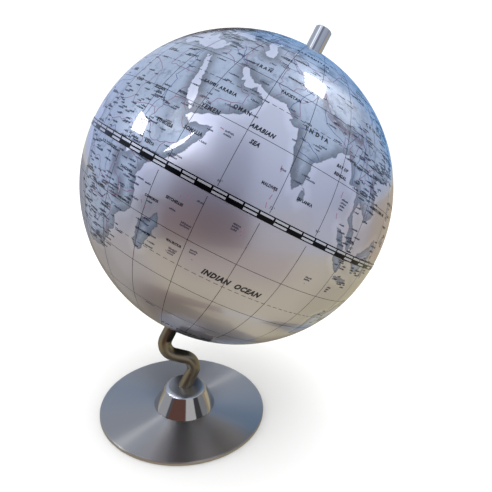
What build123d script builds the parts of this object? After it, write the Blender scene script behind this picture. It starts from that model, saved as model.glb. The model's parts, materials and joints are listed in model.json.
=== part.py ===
from build123d import *

import math
import os

# A desk globe that turns on a tilted axle above a round steel base.
# Millimetres. The origin is the centre of the base's underside, +Z is up,
# and the axle leans towards +X, in the plane Y = 0.

# Ball
ball_radius = 125.0
axis_tilt = 23.5
map_sheet_thickness = 0.2
shell_wall = 2.0
seam_rib_half = 0.75
ring_wall = 1.6
ring_half_width = 8.0
tape_width = 5.0
tape_thickness = 0.22

# Base
base_radius = 76.0
base_thickness = 3.0
base_edge_round = 0.8
base_lower_chamfer = 0.3
pad_radius = 69.0
pad_thickness = 1.5
pad_stand_off = 0.5

# Hub
hub_foot_radius = 28.5
hub_height = 18.5
hub_side_lean = 28.9
hub_shoulder_round = 5.0
hub_foot_chamfer = 0.4

# Screws
screw_radius = 2.0
screw_head_radius = 3.6
hub_screw_count = 3
hub_screw_circle = 18.0
hub_screw_start = 60.0
hub_screw_depth = 10.0
hex_socket_radius = 1.4
grub_radius = 2.5
grub_length = 14.0
grub_height = 8.0

# Bent arm, measured along its centreline
arm_radius = 6.0
arm_socket_depth = 16.0
arm_lower_leg = 28.4
arm_crank = 38.3
arm_crank_rise = 18.6
arm_upper_leg = 33.5
arm_bend = 13.0

# Axle and what is stacked on it
axle_radius = 4.0
stud_radius = 3.0
stud_length = 12.0
bush_clearance = 0.05
bush_body_radius = 6.2
bush_flange_radius = 9.5
bush_flange = 1.2
bush_length = 10.0
clip_radius = 10.5
clip_thickness = 0.5
washer_thickness = 1.0
washer_radius = 7.4
spring_gap = 1.0
spring_washer_thickness = 0.4
finial_radius = 7.0
finial_length = 20.0
finial_chamfer = 0.6

# Gap between a fixed piece and the hole or face that holds it
snug = 0.05

axis_x = math.sin(math.radians(axis_tilt))
axis_z = math.cos(math.radians(axis_tilt))

# The base stands on its pad, and the hub stands on the base.
plate_low = pad_stand_off
plate_top = plate_low + base_thickness
hub_top = plate_top + hub_height
hub_top_radius = hub_foot_radius - hub_height * math.tan(math.radians(hub_side_lean))

# Corners of the arm's centreline, from the hub's top up to the ball's lower pole
lower_corner_x = axis_x * arm_lower_leg
lower_corner_z = hub_top + axis_z * arm_lower_leg
upper_corner_x = lower_corner_x - arm_crank * math.cos(math.radians(arm_crank_rise))
upper_corner_z = lower_corner_z + arm_crank * math.sin(math.radians(arm_crank_rise))
ball_x = upper_corner_x + axis_x * (arm_upper_leg + ball_radius)
ball_z = upper_corner_z + axis_z * (arm_upper_leg + ball_radius)


def along(distance):
    """Point on the spin axis, at a distance from the ball's centre."""
    return (ball_x + axis_x * distance, 0, ball_z + axis_z * distance)


spin_axis = Axis(along(0), (axis_x, 0, axis_z))

# In this plane local X is the distance from the spin axis and local Y runs along it.
section = Plane(origin=along(0), x_dir=(axis_z, 0, -axis_x), z_dir=(0, -1, 0))

# Distances from the ball's centre
shell_outer = ball_radius - map_sheet_thickness - snug
shell_inner = shell_outer - shell_wall
ring_outer = math.sqrt(shell_inner**2 - ring_half_width**2) - snug
bush_hole = bush_body_radius + snug
flange_low = ball_radius - 0.1
flange_high = flange_low + bush_flange
washer_low = flange_high + snug
washer_high = washer_low + washer_thickness
finial_low = washer_high + spring_gap
washer_bore = axle_radius + 0.1

# Ends of the arm, and the tip of the screw that grips it from behind
arm_foot = (-axis_x * arm_socket_depth, 0, hub_top - axis_z * arm_socket_depth)
arm_head = along(-washer_high)
grub_drop = hub_top - plate_top - grub_height
grub_tip = (-grub_drop * axis_x / axis_z, arm_radius, plate_top + grub_height)
underside_of_plate = Plane(origin=(0, 0, pad_thickness), x_dir=(1, 0, 0), z_dir=(0, 0, -1))

os.makedirs("parts", exist_ok=True)


def ring_profile(inner, outer, low, high):
    """Section of a ring, between two radii and two distances along the spin axis."""
    with BuildSketch(section) as profile:
        with Locations(((inner + outer) / 2, (low + high) / 2)):
            Rectangle(outer - inner, abs(high - low))
    return profile.sketch


# ---------------------------------------------------------------- base

# A round steel plate, hollowed underneath for the pad, with countersunk holes for the hub's screws
with BuildPart() as base_plate:
    with BuildSketch(Plane.XY.offset(plate_low)):
        Circle(base_radius)
    extrude(amount=base_thickness)
    fillet(base_plate.edges().group_by(Axis.Z)[-1], base_edge_round)
    chamfer(base_plate.edges().group_by(Axis.Z)[0], base_lower_chamfer)
    with BuildSketch(Plane.XY.offset(plate_low)):
        Circle(pad_radius + 0.3)
    extrude(amount=pad_thickness - pad_stand_off, mode=Mode.SUBTRACT)
    with Locations(underside_of_plate):
        with PolarLocations(hub_screw_circle, hub_screw_count, hub_screw_start):
            CounterSinkHole(screw_radius + snug, screw_head_radius + snug, depth=base_thickness)
base_plate.part.label = "base_plate"
export_step(base_plate.part, "parts/base_plate.step")

# A soft pad that fills the hollow and keeps the steel off the table
with BuildPart() as base_pad:
    with BuildSketch():
        Circle(pad_radius)
    extrude(amount=pad_thickness - snug)
base_pad.part.label = "base_pad"
export_step(base_pad.part, "parts/base_pad.step")

# ---------------------------------------------------------------- hub

# A turned cone with a rounded shoulder. Its slanted bore takes the arm, three threaded holes take
# the screws from below, and a fourth, at the back, takes the grub screw that grips the arm.
with BuildPart() as hub:
    with BuildSketch(Plane.XZ):
        with BuildLine():
            Polyline(
                (0, plate_top),
                (hub_foot_radius, plate_top),
                (hub_top_radius, hub_top),
                (0, hub_top),
                close=True,
            )
        make_face()
    revolve(axis=Axis.Z)
    fillet(hub.edges().group_by(Axis.Z)[-1], hub_shoulder_round)
    chamfer(hub.edges().group_by(Axis.Z)[0], hub_foot_chamfer)
    with BuildSketch(Plane(origin=arm_foot, z_dir=spin_axis.direction)):
        Circle(arm_radius + snug)
    extrude(amount=2 * arm_socket_depth, mode=Mode.SUBTRACT)
    with BuildSketch(Plane.XY.offset(plate_top)):
        with PolarLocations(hub_screw_circle, hub_screw_count, hub_screw_start):
            Circle(screw_radius + snug)
    extrude(amount=hub_screw_depth, mode=Mode.SUBTRACT)
    with BuildSketch(Plane(origin=grub_tip, z_dir=(0, 1, 0))):
        Circle(grub_radius + snug)
    extrude(amount=hub_foot_radius, mode=Mode.SUBTRACT)
hub.part.label = "hub"
export_step(hub.part, "parts/hub.step")

# Three countersunk screws, heads down, each with a hexagon socket
with BuildPart() as hub_screws:
    with BuildSketch(Plane.XY.offset(pad_thickness)):
        with PolarLocations(hub_screw_circle, hub_screw_count, hub_screw_start):
            Circle(screw_radius)
    extrude(amount=base_thickness + hub_screw_depth - 2)
    for screw_spot in PolarLocations(hub_screw_circle, hub_screw_count, hub_screw_start):
        with BuildSketch(Plane(screw_spot).offset(pad_thickness)):
            Circle(screw_head_radius)
        extrude(amount=screw_head_radius - screw_radius, taper=45)
    with BuildSketch(Plane.XY.offset(pad_thickness)):
        with PolarLocations(hub_screw_circle, hub_screw_count, hub_screw_start):
            RegularPolygon(hex_socket_radius, 6)
    extrude(amount=1.5, mode=Mode.SUBTRACT)
hub_screws.part.label = "hub_screws"
export_step(hub_screws.part, "parts/hub_screws.step")

# The grub screw, with its hexagon socket
with BuildPart() as hub_grub_screw:
    with BuildSketch(Plane(origin=grub_tip, z_dir=(0, 1, 0))):
        Circle(grub_radius)
    extrude(amount=grub_length)
    chamfer(hub_grub_screw.edges().filter_by(GeomType.CIRCLE).group_by(Axis.Y)[0], 0.8)
    with BuildSketch(Plane(origin=grub_tip, z_dir=(0, 1, 0)).offset(grub_length)):
        RegularPolygon(hex_socket_radius, 6)
    extrude(amount=-3, mode=Mode.SUBTRACT)
hub_grub_screw.part.label = "hub_grub_screw"
export_step(hub_grub_screw.part, "parts/hub_grub_screw.step")

# ---------------------------------------------------------------- arm and axle

# A round bar bent twice, so that its two straight legs are parallel
with BuildPart() as crank_arm:
    with BuildLine(Plane.XZ) as arm_path:
        FilletPolyline(
            (arm_foot[0], arm_foot[2]),
            (lower_corner_x, lower_corner_z),
            (upper_corner_x, upper_corner_z),
            (arm_head[0], arm_head[2]),
            radius=arm_bend,
        )
    with BuildSketch(Plane(origin=arm_foot, z_dir=spin_axis.direction)):
        Circle(arm_radius)
    sweep(path=arm_path.line)
    # Threaded hole for the axle's lower stud
    with BuildSketch(Plane(origin=arm_head, z_dir=spin_axis.direction)):
        Circle(stud_radius + snug)
    extrude(amount=-stud_length - 1, mode=Mode.SUBTRACT)
crank_arm.part.label = "crank_arm"
export_step(crank_arm.part, "parts/crank_arm.step")

# The axle, with a threaded stud at each end
with BuildPart() as axle:
    with BuildSketch(section):
        with BuildLine():
            Polyline(
                (0, -washer_high - stud_length),
                (stud_radius, -washer_high - stud_length),
                (stud_radius, -washer_high),
                (axle_radius, -washer_high),
                (axle_radius, finial_low),
                (stud_radius, finial_low),
                (stud_radius, finial_low + stud_length),
                (0, finial_low + stud_length),
                close=True,
            )
        make_face()
    revolve(axis=spin_axis)
axle.part.label = "axle"
export_step(axle.part, "parts/axle.step")

# A slippery washer at each pole takes the rub between the ball's bush and the stand
for name, low in (("lower_thrust_washer", -washer_high), ("upper_thrust_washer", washer_low)):
    with BuildPart() as thrust_washer:
        add(ring_profile(washer_bore, washer_radius, low, low + washer_thickness))
        revolve(axis=spin_axis)
    thrust_washer.part.label = name
    export_step(thrust_washer.part, f"parts/{name}.step")

# A coned spring washer under the finial gives the ball its light drag
with BuildPart() as spring_washer:
    with BuildSketch(section):
        with BuildLine():
            Polyline(
                (washer_bore, washer_high + spring_gap - spring_washer_thickness),
                (washer_radius, washer_high),
                (washer_radius, washer_high + spring_washer_thickness),
                (washer_bore, washer_high + spring_gap),
                close=True,
            )
        make_face()
    revolve(axis=spin_axis)
spring_washer.part.label = "spring_washer"
export_step(spring_washer.part, "parts/spring_washer.step")

# The finial is a plain polished pin that screws onto the axle's upper stud
with BuildPart() as finial:
    with BuildSketch(Plane(origin=along(finial_low), z_dir=spin_axis.direction)):
        Circle(finial_radius)
    extrude(amount=finial_length)
    chamfer(finial.edges().group_by(spin_axis)[-1], finial_chamfer)
    with BuildSketch(Plane(origin=along(finial_low), z_dir=spin_axis.direction)):
        Circle(stud_radius + snug)
    extrude(amount=stud_length + 1, mode=Mode.SUBTRACT)
finial.part.label = "finial"
export_step(finial.part, "parts/finial.step")

# ---------------------------------------------------------------- ball


def cap_profile(inner, outer, seam, hole):
    """Section of a round shell from the seam up to the hole at its pole."""
    with BuildSketch(section) as profile:
        Circle(outer)
        Circle(inner, mode=Mode.SUBTRACT)
        with Locations(((hole + outer) / 2, (seam + outer) / 2)):
            Rectangle(outer - hole, outer - seam, mode=Mode.INTERSECT)
    return profile.sketch


def mirrored(sketch):
    """The same section on the other side of the seam."""
    return mirror(sketch, Plane(origin=along(0), z_dir=spin_axis.direction))


# Moulded half shells and the printed sheets bonded over them
half_layers = (
    ("hemisphere", shell_inner, shell_outer, seam_rib_half),
    ("map_sheet", shell_outer + snug, ball_radius, 0.1),
)
for half in ("north", "south"):
    for layer, inner, outer, seam in half_layers:
        cap = cap_profile(inner, outer, seam, bush_hole)
        with BuildPart() as half_ball:
            add(cap if half == "north" else mirrored(cap))
            revolve(axis=spin_axis)
        half_ball.part.label = f"{half}_{layer}"
        export_step(half_ball.part, f"parts/{half}_{layer}.step")

# A ring inside the seam, with a rib that the two half shells butt against
ring_middle = ring_outer - ring_wall / 2
with BuildPart() as coupling_ring:
    with BuildSketch(section):
        with Locations((ring_middle, 0)):
            Rectangle(ring_wall, 2 * ring_half_width)
        with Locations(((ring_middle + shell_outer) / 2, 0)):
            Rectangle(shell_outer - ring_middle, 2 * seam_rib_half)
    revolve(axis=spin_axis)
coupling_ring.part.label = "coupling_ring"
export_step(coupling_ring.part, "parts/coupling_ring.step")

# The printed tape that hides the seam
with BuildPart() as equator_tape:
    add(ring_profile(ball_radius + 0.02, ball_radius + tape_thickness, -tape_width / 2, tape_width / 2))
    revolve(axis=spin_axis)
equator_tape.part.label = "equator_tape"
export_step(equator_tape.part, "parts/equator_tape.step")

# A flanged bush in each pole, held from inside by a push-on clip
bush_bore = axle_radius + bush_clearance
for half, side in (("north", 1), ("south", -1)):
    with BuildPart() as pole_bush:
        with BuildSketch(section):
            with BuildLine():
                Polyline(
                    (bush_bore, side * flange_high),
                    (bush_flange_radius, side * flange_high),
                    (bush_flange_radius, side * flange_low),
                    (bush_body_radius, side * flange_low),
                    (bush_body_radius, side * (flange_low - bush_length)),
                    (bush_bore, side * (flange_low - bush_length)),
                    close=True,
                )
            make_face()
        revolve(axis=spin_axis)
    pole_bush.part.label = f"{half}_bush"
    export_step(pole_bush.part, f"parts/{half}_bush.step")

    clip_outside = side * (math.sqrt(shell_inner**2 - clip_radius**2) - snug)
    with BuildPart() as bush_clip:
        add(ring_profile(bush_hole, clip_radius, clip_outside - side * clip_thickness, clip_outside))
        revolve(axis=spin_axis)
    bush_clip.part.label = f"{half}_bush_clip"
    export_step(bush_clip.part, f"parts/{half}_bush_clip.step")
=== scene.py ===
import json
import math

import bpy
import numpy as np
from bpy.props import FloatProperty, FloatVectorProperty, IntProperty, PointerProperty, StringProperty
from mathutils import Matrix, Vector


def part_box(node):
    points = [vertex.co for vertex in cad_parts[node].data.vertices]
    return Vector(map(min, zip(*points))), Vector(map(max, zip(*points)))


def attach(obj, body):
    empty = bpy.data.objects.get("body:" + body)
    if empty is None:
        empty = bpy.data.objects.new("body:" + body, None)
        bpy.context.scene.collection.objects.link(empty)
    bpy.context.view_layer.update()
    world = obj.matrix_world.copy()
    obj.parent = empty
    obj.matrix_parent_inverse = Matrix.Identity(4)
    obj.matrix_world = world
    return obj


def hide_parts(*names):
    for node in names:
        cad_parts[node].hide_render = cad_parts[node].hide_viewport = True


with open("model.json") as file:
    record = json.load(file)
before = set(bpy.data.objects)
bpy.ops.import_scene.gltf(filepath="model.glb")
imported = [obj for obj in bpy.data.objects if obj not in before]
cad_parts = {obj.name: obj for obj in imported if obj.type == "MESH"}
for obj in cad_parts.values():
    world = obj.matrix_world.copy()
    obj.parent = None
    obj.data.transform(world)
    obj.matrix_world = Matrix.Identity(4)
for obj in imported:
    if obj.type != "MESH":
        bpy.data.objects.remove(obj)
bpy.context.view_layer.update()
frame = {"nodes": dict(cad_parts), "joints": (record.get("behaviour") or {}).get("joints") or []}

bl_info = {
    "name": "Desk Globe",
    "version": (1, 0, 0),
    "blender": (4, 5, 0),
    "location": "3D View > Sidebar > Desk Globe",
    "description": "Builds the printed ball and the polished stand of a tilted desk globe round its CAD frame",
    "category": "Object",
}

MM = 0.001

# ---------------------------------------------------------------------------
# What the frame says
# ---------------------------------------------------------------------------

SPIN = frame["joints"][0]
CENTRE = np.array(SPIN["pos_m"], float)
NORTH = np.array(SPIN["axis"], float) / np.linalg.norm(SPIN["axis"])
SIDE = np.array([0.0, 1.0, 0.0])
OUT = np.cross(SIDE, NORTH)


def span(node, axis):
    """How long a node is along one axis of the frame, in metres."""
    low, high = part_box(node)
    return high[axis] - low[axis]


BALL_RADIUS = span("north_map_sheet", 1) / 2
TAPE_RADIUS = span("equator_tape", 1) / 2

# ---------------------------------------------------------------------------
# The printed map: outlines in degrees, longitude then latitude
# ---------------------------------------------------------------------------

LANDS = {
    "africa": """33.2 30.0, 34.8 27.0, 36.4 23.9, 37.6 21.0, 37.7 19.4, 38.6 18.0, 39.5 15.6, 41.2 14.5, 42.8 12.9,
        43.3 12.3, 43.0 11.5, 44.9 10.4, 47.0 11.1, 49.2 11.3, 51.3 11.8, 51.1 10.4, 50.4 8.6, 49.0 6.2, 48.0 4.4,
        46.0 2.4, 44.2 1.2, 42.5 -0.4, 41.4 -1.9, 40.2 -2.6, 39.4 -4.6, 38.8 -6.2, 39.5 -7.2, 39.5 -9.0, 40.5 -10.4,
        40.6 -12.6, 40.7 -15.0, 39.6 -16.6, 37.0 -17.8, 34.9 -19.8, 35.4 -21.8, 35.5 -24.0, 32.9 -25.6, 32.8 -27.2,
        31.4 -29.4, 29.8 -31.6, 27.8 -33.1, 25.7 -34.0, 22.0 -34.2, 20.0 -34.8, 18.4 -34.1, 18.2 -32.2, 16.9 -29.2,
        15.2 -26.8, 14.4 -22.8, 12.4 -19.0, 11.8 -16.6, 13.6 -12.6, 13.3 -9.4, 12.2 -6.0, 11.4 -4.2, 9.0 -1.6,
        9.5 1.0, 9.8 3.2, 8.6 4.6, 6.1 4.3, 4.6 6.3, 1.8 6.2, -2.0 4.8, -4.6 5.2, -7.6 4.4, -10.4 6.4, -13.0 8.6,
        -15.0 11.0, -16.8 12.6, -17.4 14.7, -16.4 16.6, -16.3 19.2, -17.0 21.0, -15.8 23.9, -14.4 26.2, -12.8 28.0,
        -10.0 29.6, -9.7 31.6, -8.4 33.4, -6.6 34.4, -5.8 35.8, -3.0 35.2, 0.4 36.1, 3.2 36.9, 7.4 37.0, 10.6 37.2,
        11.0 35.4, 10.2 34.2, 11.4 33.1, 15.2 32.3, 16.2 31.2, 19.0 30.3, 20.2 31.2, 20.4 32.5, 23.0 32.5, 25.0 31.6,
        29.0 30.9, 31.2 31.6, 32.6 31.2, 33.4 30.9""",
    "eurasia": """32.2 31.2, 34.3 31.4, 35.1 33.0, 35.9 35.2, 36.0 36.8, 33.6 36.2, 30.6 36.6, 27.6 36.8, 26.4 38.4,
        26.2 40.2, 23.6 40.4, 23.0 39.0, 24.0 37.8, 22.8 36.5, 21.4 37.6, 19.4 40.6, 19.4 42.0, 15.8 43.6, 13.6 45.4,
        12.3 45.2, 13.6 43.5, 16.0 41.6, 18.4 40.2, 17.0 40.4, 17.0 39.0, 15.8 38.1, 15.8 39.8, 14.2 40.8, 12.0 42.1,
        10.2 43.9, 8.7 44.4, 6.4 43.1, 3.2 43.2, 3.1 41.8, 0.6 40.7, -0.3 39.3, -0.7 37.8, -2.2 36.7, -5.5 36.1,
        -6.6 37.0, -8.9 37.0, -9.4 38.7, -8.8 41.0, -9.2 43.1, -7.8 43.7, -1.8 43.4, -1.2 45.6, -2.4 47.3, -4.6 48.2,
        -1.7 48.7, -1.6 49.6, 0.2 49.6, 1.7 50.9, 4.2 52.2, 5.2 53.4, 8.4 53.7, 8.2 56.0, 10.4 57.6, 10.6 56.2,
        9.8 54.8, 11.0 54.0, 14.2 53.9, 18.4 54.7, 21.0 55.3, 21.4 57.2, 24.2 57.2, 23.5 59.0, 28.0 59.6, 30.1 60.0,
        25.0 60.2, 22.8 59.9, 21.3 61.0, 21.3 62.8, 25.2 65.0, 22.2 65.8, 21.4 64.4, 17.6 62.5, 17.3 61.0, 18.8 59.8,
        16.7 58.4, 16.2 56.6, 14.2 55.5, 12.8 55.6, 11.2 58.4, 8.0 58.1, 5.6 58.9, 5.1 61.0, 8.6 63.4, 12.6 66.0,
        15.0 68.2, 19.4 69.9, 25.7 71.0, 30.8 70.3, 33.4 69.4, 40.8 67.4, 39.8 66.2, 34.6 66.8, 32.8 67.0, 35.0 64.4,
        37.8 64.0, 40.2 64.8, 42.8 66.3, 44.2 68.2, 46.4 67.8, 53.8 68.6, 60.6 69.8, 67.8 68.6, 67.0 71.2, 69.4 72.8,
        72.8 72.4, 72.6 69.2, 74.4 70.8, 75.4 72.8, 80.6 73.6, 87.2 75.2, 98.0 76.4, 104.4 77.6, 112.8 75.8,
        110.6 74.1, 118.6 73.2, 127.2 73.2, 130.2 71.0, 133.6 71.6, 140.2 72.6, 150.2 71.4, 160.2 69.8, 170.4 69.9,
        180.0 68.9, 188.0 67.0, 190.2 66.1, 186.0 64.6, 180.2 64.8, 178.6 62.5, 170.6 60.0, 163.4 58.6, 162.2 56.2,
        160.0 53.2, 156.8 51.2, 155.8 55.4, 158.4 58.0, 163.2 61.4, 157.0 61.6, 154.6 59.6, 149.8 59.5, 142.6 59.1,
        137.2 54.0, 141.2 52.8, 140.2 48.4, 135.6 44.2, 132.0 43.2, 130.4 42.2, 127.6 40.0, 129.4 37.0, 129.0 35.3,
        126.4 34.6, 126.4 37.2, 124.6 39.7, 121.4 39.0, 121.8 40.8, 118.8 39.2, 118.8 37.6, 122.4 37.3, 119.4 35.0,
        121.8 31.8, 121.8 29.4, 119.6 25.8, 116.8 23.4, 114.0 22.3, 110.4 21.2, 109.8 21.6, 107.8 21.5, 105.8 19.2,
        107.8 16.6, 109.3 13.4, 109.0 11.5, 106.8 10.3, 104.9 8.7, 104.8 10.3, 102.6 12.0, 100.9 12.8, 100.5 13.6,
        99.9 12.2, 99.3 9.9, 100.4 8.0, 102.0 6.6, 103.4 4.6, 103.6 2.4, 104.2 1.4, 103.2 1.4, 101.2 3.0, 100.3 6.2,
        98.3 8.2, 98.6 10.6, 98.5 13.2, 97.6 16.2, 95.4 15.8, 94.3 16.2, 94.2 18.8, 92.2 21.2, 91.6 22.6, 89.0 21.7,
        87.0 21.3, 86.4 19.9, 84.0 18.3, 82.2 16.6, 80.3 15.6, 80.1 13.4, 79.8 10.4, 78.9 9.3, 78.1 8.5, 77.5 8.1,
        76.4 9.6, 75.2 11.8, 74.2 14.6, 73.2 17.2, 72.8 19.4, 72.7 21.2, 72.2 21.4, 71.0 20.8, 69.0 22.2, 70.0 22.9,
        68.2 23.8, 66.8 24.9, 66.2 25.4, 61.6 25.1, 58.6 25.6, 57.1 26.2, 56.6 27.1, 54.4 26.6, 52.6 27.5, 51.0 28.9,
        50.0 30.1, 48.6 30.0, 48.0 29.5, 48.6 28.2, 50.1 26.7, 50.2 25.8, 50.8 25.4, 51.4 26.1, 51.6 25.0, 52.4 24.1,
        54.2 24.2, 56.3 26.2, 56.5 24.8, 58.6 23.6, 59.8 22.4, 58.5 20.3, 57.7 18.9, 56.3 17.9, 55.0 17.0, 52.2 15.7,
        49.0 14.2, 45.2 12.9, 43.5 12.8, 42.8 14.8, 42.6 16.6, 40.9 19.4, 39.6 21.6, 38.5 24.3, 37.0 26.4, 35.9 28.2,
        35.6 29.6, 35.1 28.0, 33.9 29.4, 33.6 30.6""",
    "north america": """-168.0 65.6, -161.8 66.4, -166.6 68.4, -156.6 71.3, -141.0 69.7, -128.0 70.4, -114.8 68.0,
        -108.0 67.9, -96.2 67.6, -94.6 71.8, -90.0 68.8, -86.0 67.6, -81.4 69.4, -82.0 66.8, -86.6 66.2, -94.0 61.4,
        -94.6 58.8, -92.6 57.0, -87.6 56.2, -82.4 55.2, -82.2 52.8, -79.4 51.4, -78.8 54.6, -76.6 57.0, -78.0 62.2,
        -73.8 62.4, -69.6 61.0, -69.4 58.8, -66.0 58.8, -64.6 60.2, -61.4 56.8, -57.2 54.6, -56.0 52.0, -60.0 50.2,
        -66.6 50.2, -70.0 47.2, -65.2 49.2, -64.4 46.4, -60.4 46.4, -65.8 43.8, -67.0 44.8, -70.4 43.6, -70.6 41.8,
        -74.0 40.6, -75.6 37.6, -76.0 35.2, -78.8 33.6, -81.4 31.0, -80.2 27.0, -80.6 25.2, -81.8 26.2, -82.8 28.8,
        -84.4 30.0, -89.4 30.2, -91.0 29.2, -94.8 29.4, -97.2 27.6, -97.6 23.8, -96.2 19.2, -94.4 18.2, -91.4 18.6,
        -90.4 21.0, -87.0 21.5, -88.2 17.6, -88.6 15.8, -83.4 15.0, -83.6 11.4, -81.8 9.0, -79.6 9.5, -77.4 8.6,
        -77.6 7.4, -79.8 7.6, -83.6 8.6, -85.8 10.4, -87.6 13.0, -91.6 14.0, -94.8 16.2, -99.6 16.7, -103.6 18.4,
        -105.6 20.6, -106.2 23.4, -109.4 26.2, -112.8 30.6, -114.8 31.8, -112.2 28.0, -110.2 24.0, -112.2 25.4,
        -114.4 28.2, -117.2 32.6, -120.6 34.6, -122.4 37.4, -124.2 40.6, -124.0 44.6, -124.6 48.2, -122.6 48.8,
        -127.6 51.4, -130.4 54.6, -135.0 58.6, -140.0 59.8, -146.8 61.0, -151.6 59.4, -156.4 57.2, -163.8 54.8,
        -158.0 57.8, -162.0 58.8, -165.6 61.6, -161.0 64.6, -166.4 64.6""",
    "south america": """-77.4 8.6, -75.4 10.6, -72.0 12.2, -71.4 10.8, -68.2 11.4, -64.6 10.4, -61.8 10.7, -60.0 8.4,
        -57.2 6.0, -51.8 4.6, -50.0 1.2, -48.4 -0.8, -44.2 -2.4, -40.0 -2.8, -37.0 -4.8, -35.0 -6.6, -35.2 -9.4,
        -38.8 -13.2, -39.2 -17.8, -41.0 -21.8, -44.6 -23.2, -48.4 -25.8, -48.8 -28.4, -52.2 -32.4, -55.0 -34.9,
        -58.2 -34.0, -57.0 -36.6, -58.2 -38.4, -62.2 -39.0, -65.0 -41.0, -63.8 -42.6, -67.4 -45.8, -65.8 -47.6,
        -69.2 -51.0, -68.4 -52.6, -65.2 -54.8, -69.4 -55.4, -74.2 -52.0, -75.4 -48.0, -73.8 -42.0, -73.4 -37.2,
        -71.4 -31.0, -70.4 -24.0, -70.4 -18.4, -76.2 -13.6, -79.8 -7.2, -81.2 -4.4, -80.2 -2.0, -79.4 1.4, -77.4 4.0,
        -77.6 7.4""",
    "greenland": """-44.0 60.0, -49.6 61.6, -53.4 66.8, -51.2 69.6, -54.6 71.4, -58.8 75.6, -68.8 76.2, -72.6 78.4,
        -65.0 80.8, -46.0 82.6, -32.6 83.5, -20.0 81.8, -19.0 77.2, -21.8 72.4, -26.0 69.0, -36.6 65.8, -40.6 64.2""",
    "australia": """114.0 -22.0, 113.6 -25.0, 115.2 -30.0, 115.0 -34.2, 118.2 -35.0, 123.4 -34.0, 129.0 -31.7,
        134.2 -32.8, 137.6 -33.0, 138.2 -35.4, 140.8 -38.0, 146.4 -39.0, 150.0 -37.2, 151.4 -33.4, 153.4 -29.0,
        152.8 -25.4, 149.4 -22.0, 146.2 -19.0, 145.2 -15.2, 142.6 -10.8, 141.6 -14.4, 140.6 -17.6, 136.0 -15.2,
        136.8 -12.2, 132.6 -11.4, 130.0 -13.2, 129.4 -15.0, 126.0 -14.0, 122.4 -17.6, 121.2 -19.6, 117.0 -20.8""",
    "madagascar": "49.3 -12.0, 50.4 -15.6, 49.4 -18.2, 47.2 -24.8, 45.2 -25.5, 43.6 -23.4, 44.4 -20.0, 44.4 -16.6, 47.6 -14.8",
    "sri lanka": "80.0 9.7, 81.3 8.4, 81.8 7.2, 80.7 6.0, 80.0 6.4, 79.8 8.2",
    "sumatra": "95.4 5.6, 97.6 5.2, 100.4 2.4, 103.4 -0.8, 106.0 -3.2, 105.6 -5.8, 103.8 -5.0, 101.2 -2.6, 98.8 1.6",
    "java": "105.4 -6.6, 108.4 -6.6, 112.6 -6.8, 114.5 -8.2, 110.6 -8.2, 106.6 -7.4",
    "borneo": "109.2 1.6, 111.4 2.4, 113.6 3.8, 116.6 7.0, 119.2 5.2, 117.8 1.2, 116.4 -3.8, 112.6 -3.4, 109.8 -1.2",
    "celebes": "119.6 0.6, 124.8 1.5, 121.0 -0.8, 122.6 -4.8, 120.6 -3.4, 119.6 -5.4, 119.2 -2.4",
    "new guinea": """131.0 -0.8, 134.4 -1.2, 137.8 -1.6, 144.4 -3.8, 147.8 -6.2, 150.6 -10.4, 146.8 -9.0, 143.0 -9.2,
        138.6 -8.2, 137.4 -5.2, 133.2 -4.0, 132.6 -2.6""",
    "luzon": "120.4 16.2, 120.8 18.5, 122.2 18.2, 121.6 15.4, 124.0 12.8, 120.8 13.8",
    "mindanao": "122.2 7.2, 123.6 8.6, 125.6 9.6, 126.4 7.0, 125.2 5.9",
    "taiwan": "120.2 23.2, 121.4 25.2, 121.0 22.2",
    "hainan": "108.7 19.2, 110.8 20.0, 109.8 18.3",
    "kyushu": "130.0 33.6, 131.8 33.4, 131.0 31.2",
    "honshu": "131.0 34.2, 136.0 35.8, 138.8 37.6, 141.2 41.2, 141.8 39.4, 140.8 36.0, 138.0 34.6, 135.6 33.6",
    "hokkaido": "140.2 42.0, 141.8 45.3, 145.3 43.6, 143.0 42.2",
    "sakhalin": "142.2 46.4, 142.0 53.6, 143.6 52.6, 143.4 47.0",
    "great britain": "-5.4 50.2, -3.2 51.4, -5.0 52.8, -3.0 54.2, -5.8 56.6, -4.8 58.6, -1.8 57.4, -1.4 55.0, 1.6 52.6, 0.8 50.9",
    "ireland": "-10.0 51.8, -9.8 54.0, -6.4 55.2, -6.2 52.4",
    "iceland": "-22.6 63.9, -24.2 65.4, -18.0 66.3, -13.6 65.0, -18.6 63.5",
    "new zealand north": "172.8 -34.6, 175.8 -37.0, 178.4 -37.8, 175.2 -41.6, 174.6 -39.0",
    "new zealand south": "172.8 -40.6, 174.2 -41.8, 170.6 -45.8, 166.6 -46.0, 170.4 -43.0",
    "tasmania": "144.8 -40.8, 148.2 -41.0, 147.0 -43.6",
    "cuba": "-84.6 22.0, -80.6 23.1, -74.4 20.2, -77.6 19.9, -81.6 22.2",
    "hispaniola": "-74.2 18.4, -72.8 19.9, -68.6 18.6, -71.4 17.8",
    "newfoundland": "-59.2 47.8, -55.8 51.5, -53.0 47.0",
    "baffin": "-65.0 61.8, -78.0 64.6, -72.8 67.6, -88.6 71.4, -84.0 73.6, -68.0 70.2, -61.6 66.6",
    "victoria": "-117.0 69.6, -118.4 72.6, -105.6 73.6, -101.6 69.4, -110.0 68.6",
    "ellesmere": "-80.0 76.4, -90.0 80.6, -68.0 83.0, -62.0 82.4, -76.0 79.0",
    "novaya zemlya": "52.0 71.2, 56.0 75.0, 68.6 76.8, 57.6 72.2, 56.4 70.8",
    "svalbard": "11.2 79.4, 24.0 80.2, 20.4 78.4, 16.4 76.8",
    "sicily": "12.6 38.0, 15.6 38.2, 15.0 36.8",
    "sardinia": "8.4 41.0, 9.7 40.8, 9.2 39.2, 8.5 39.2",
    "crete": "23.6 35.4, 26.2 35.2, 24.8 35.0",
    "cyprus": "32.4 35.0, 34.4 35.6, 33.4 34.7",
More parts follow.
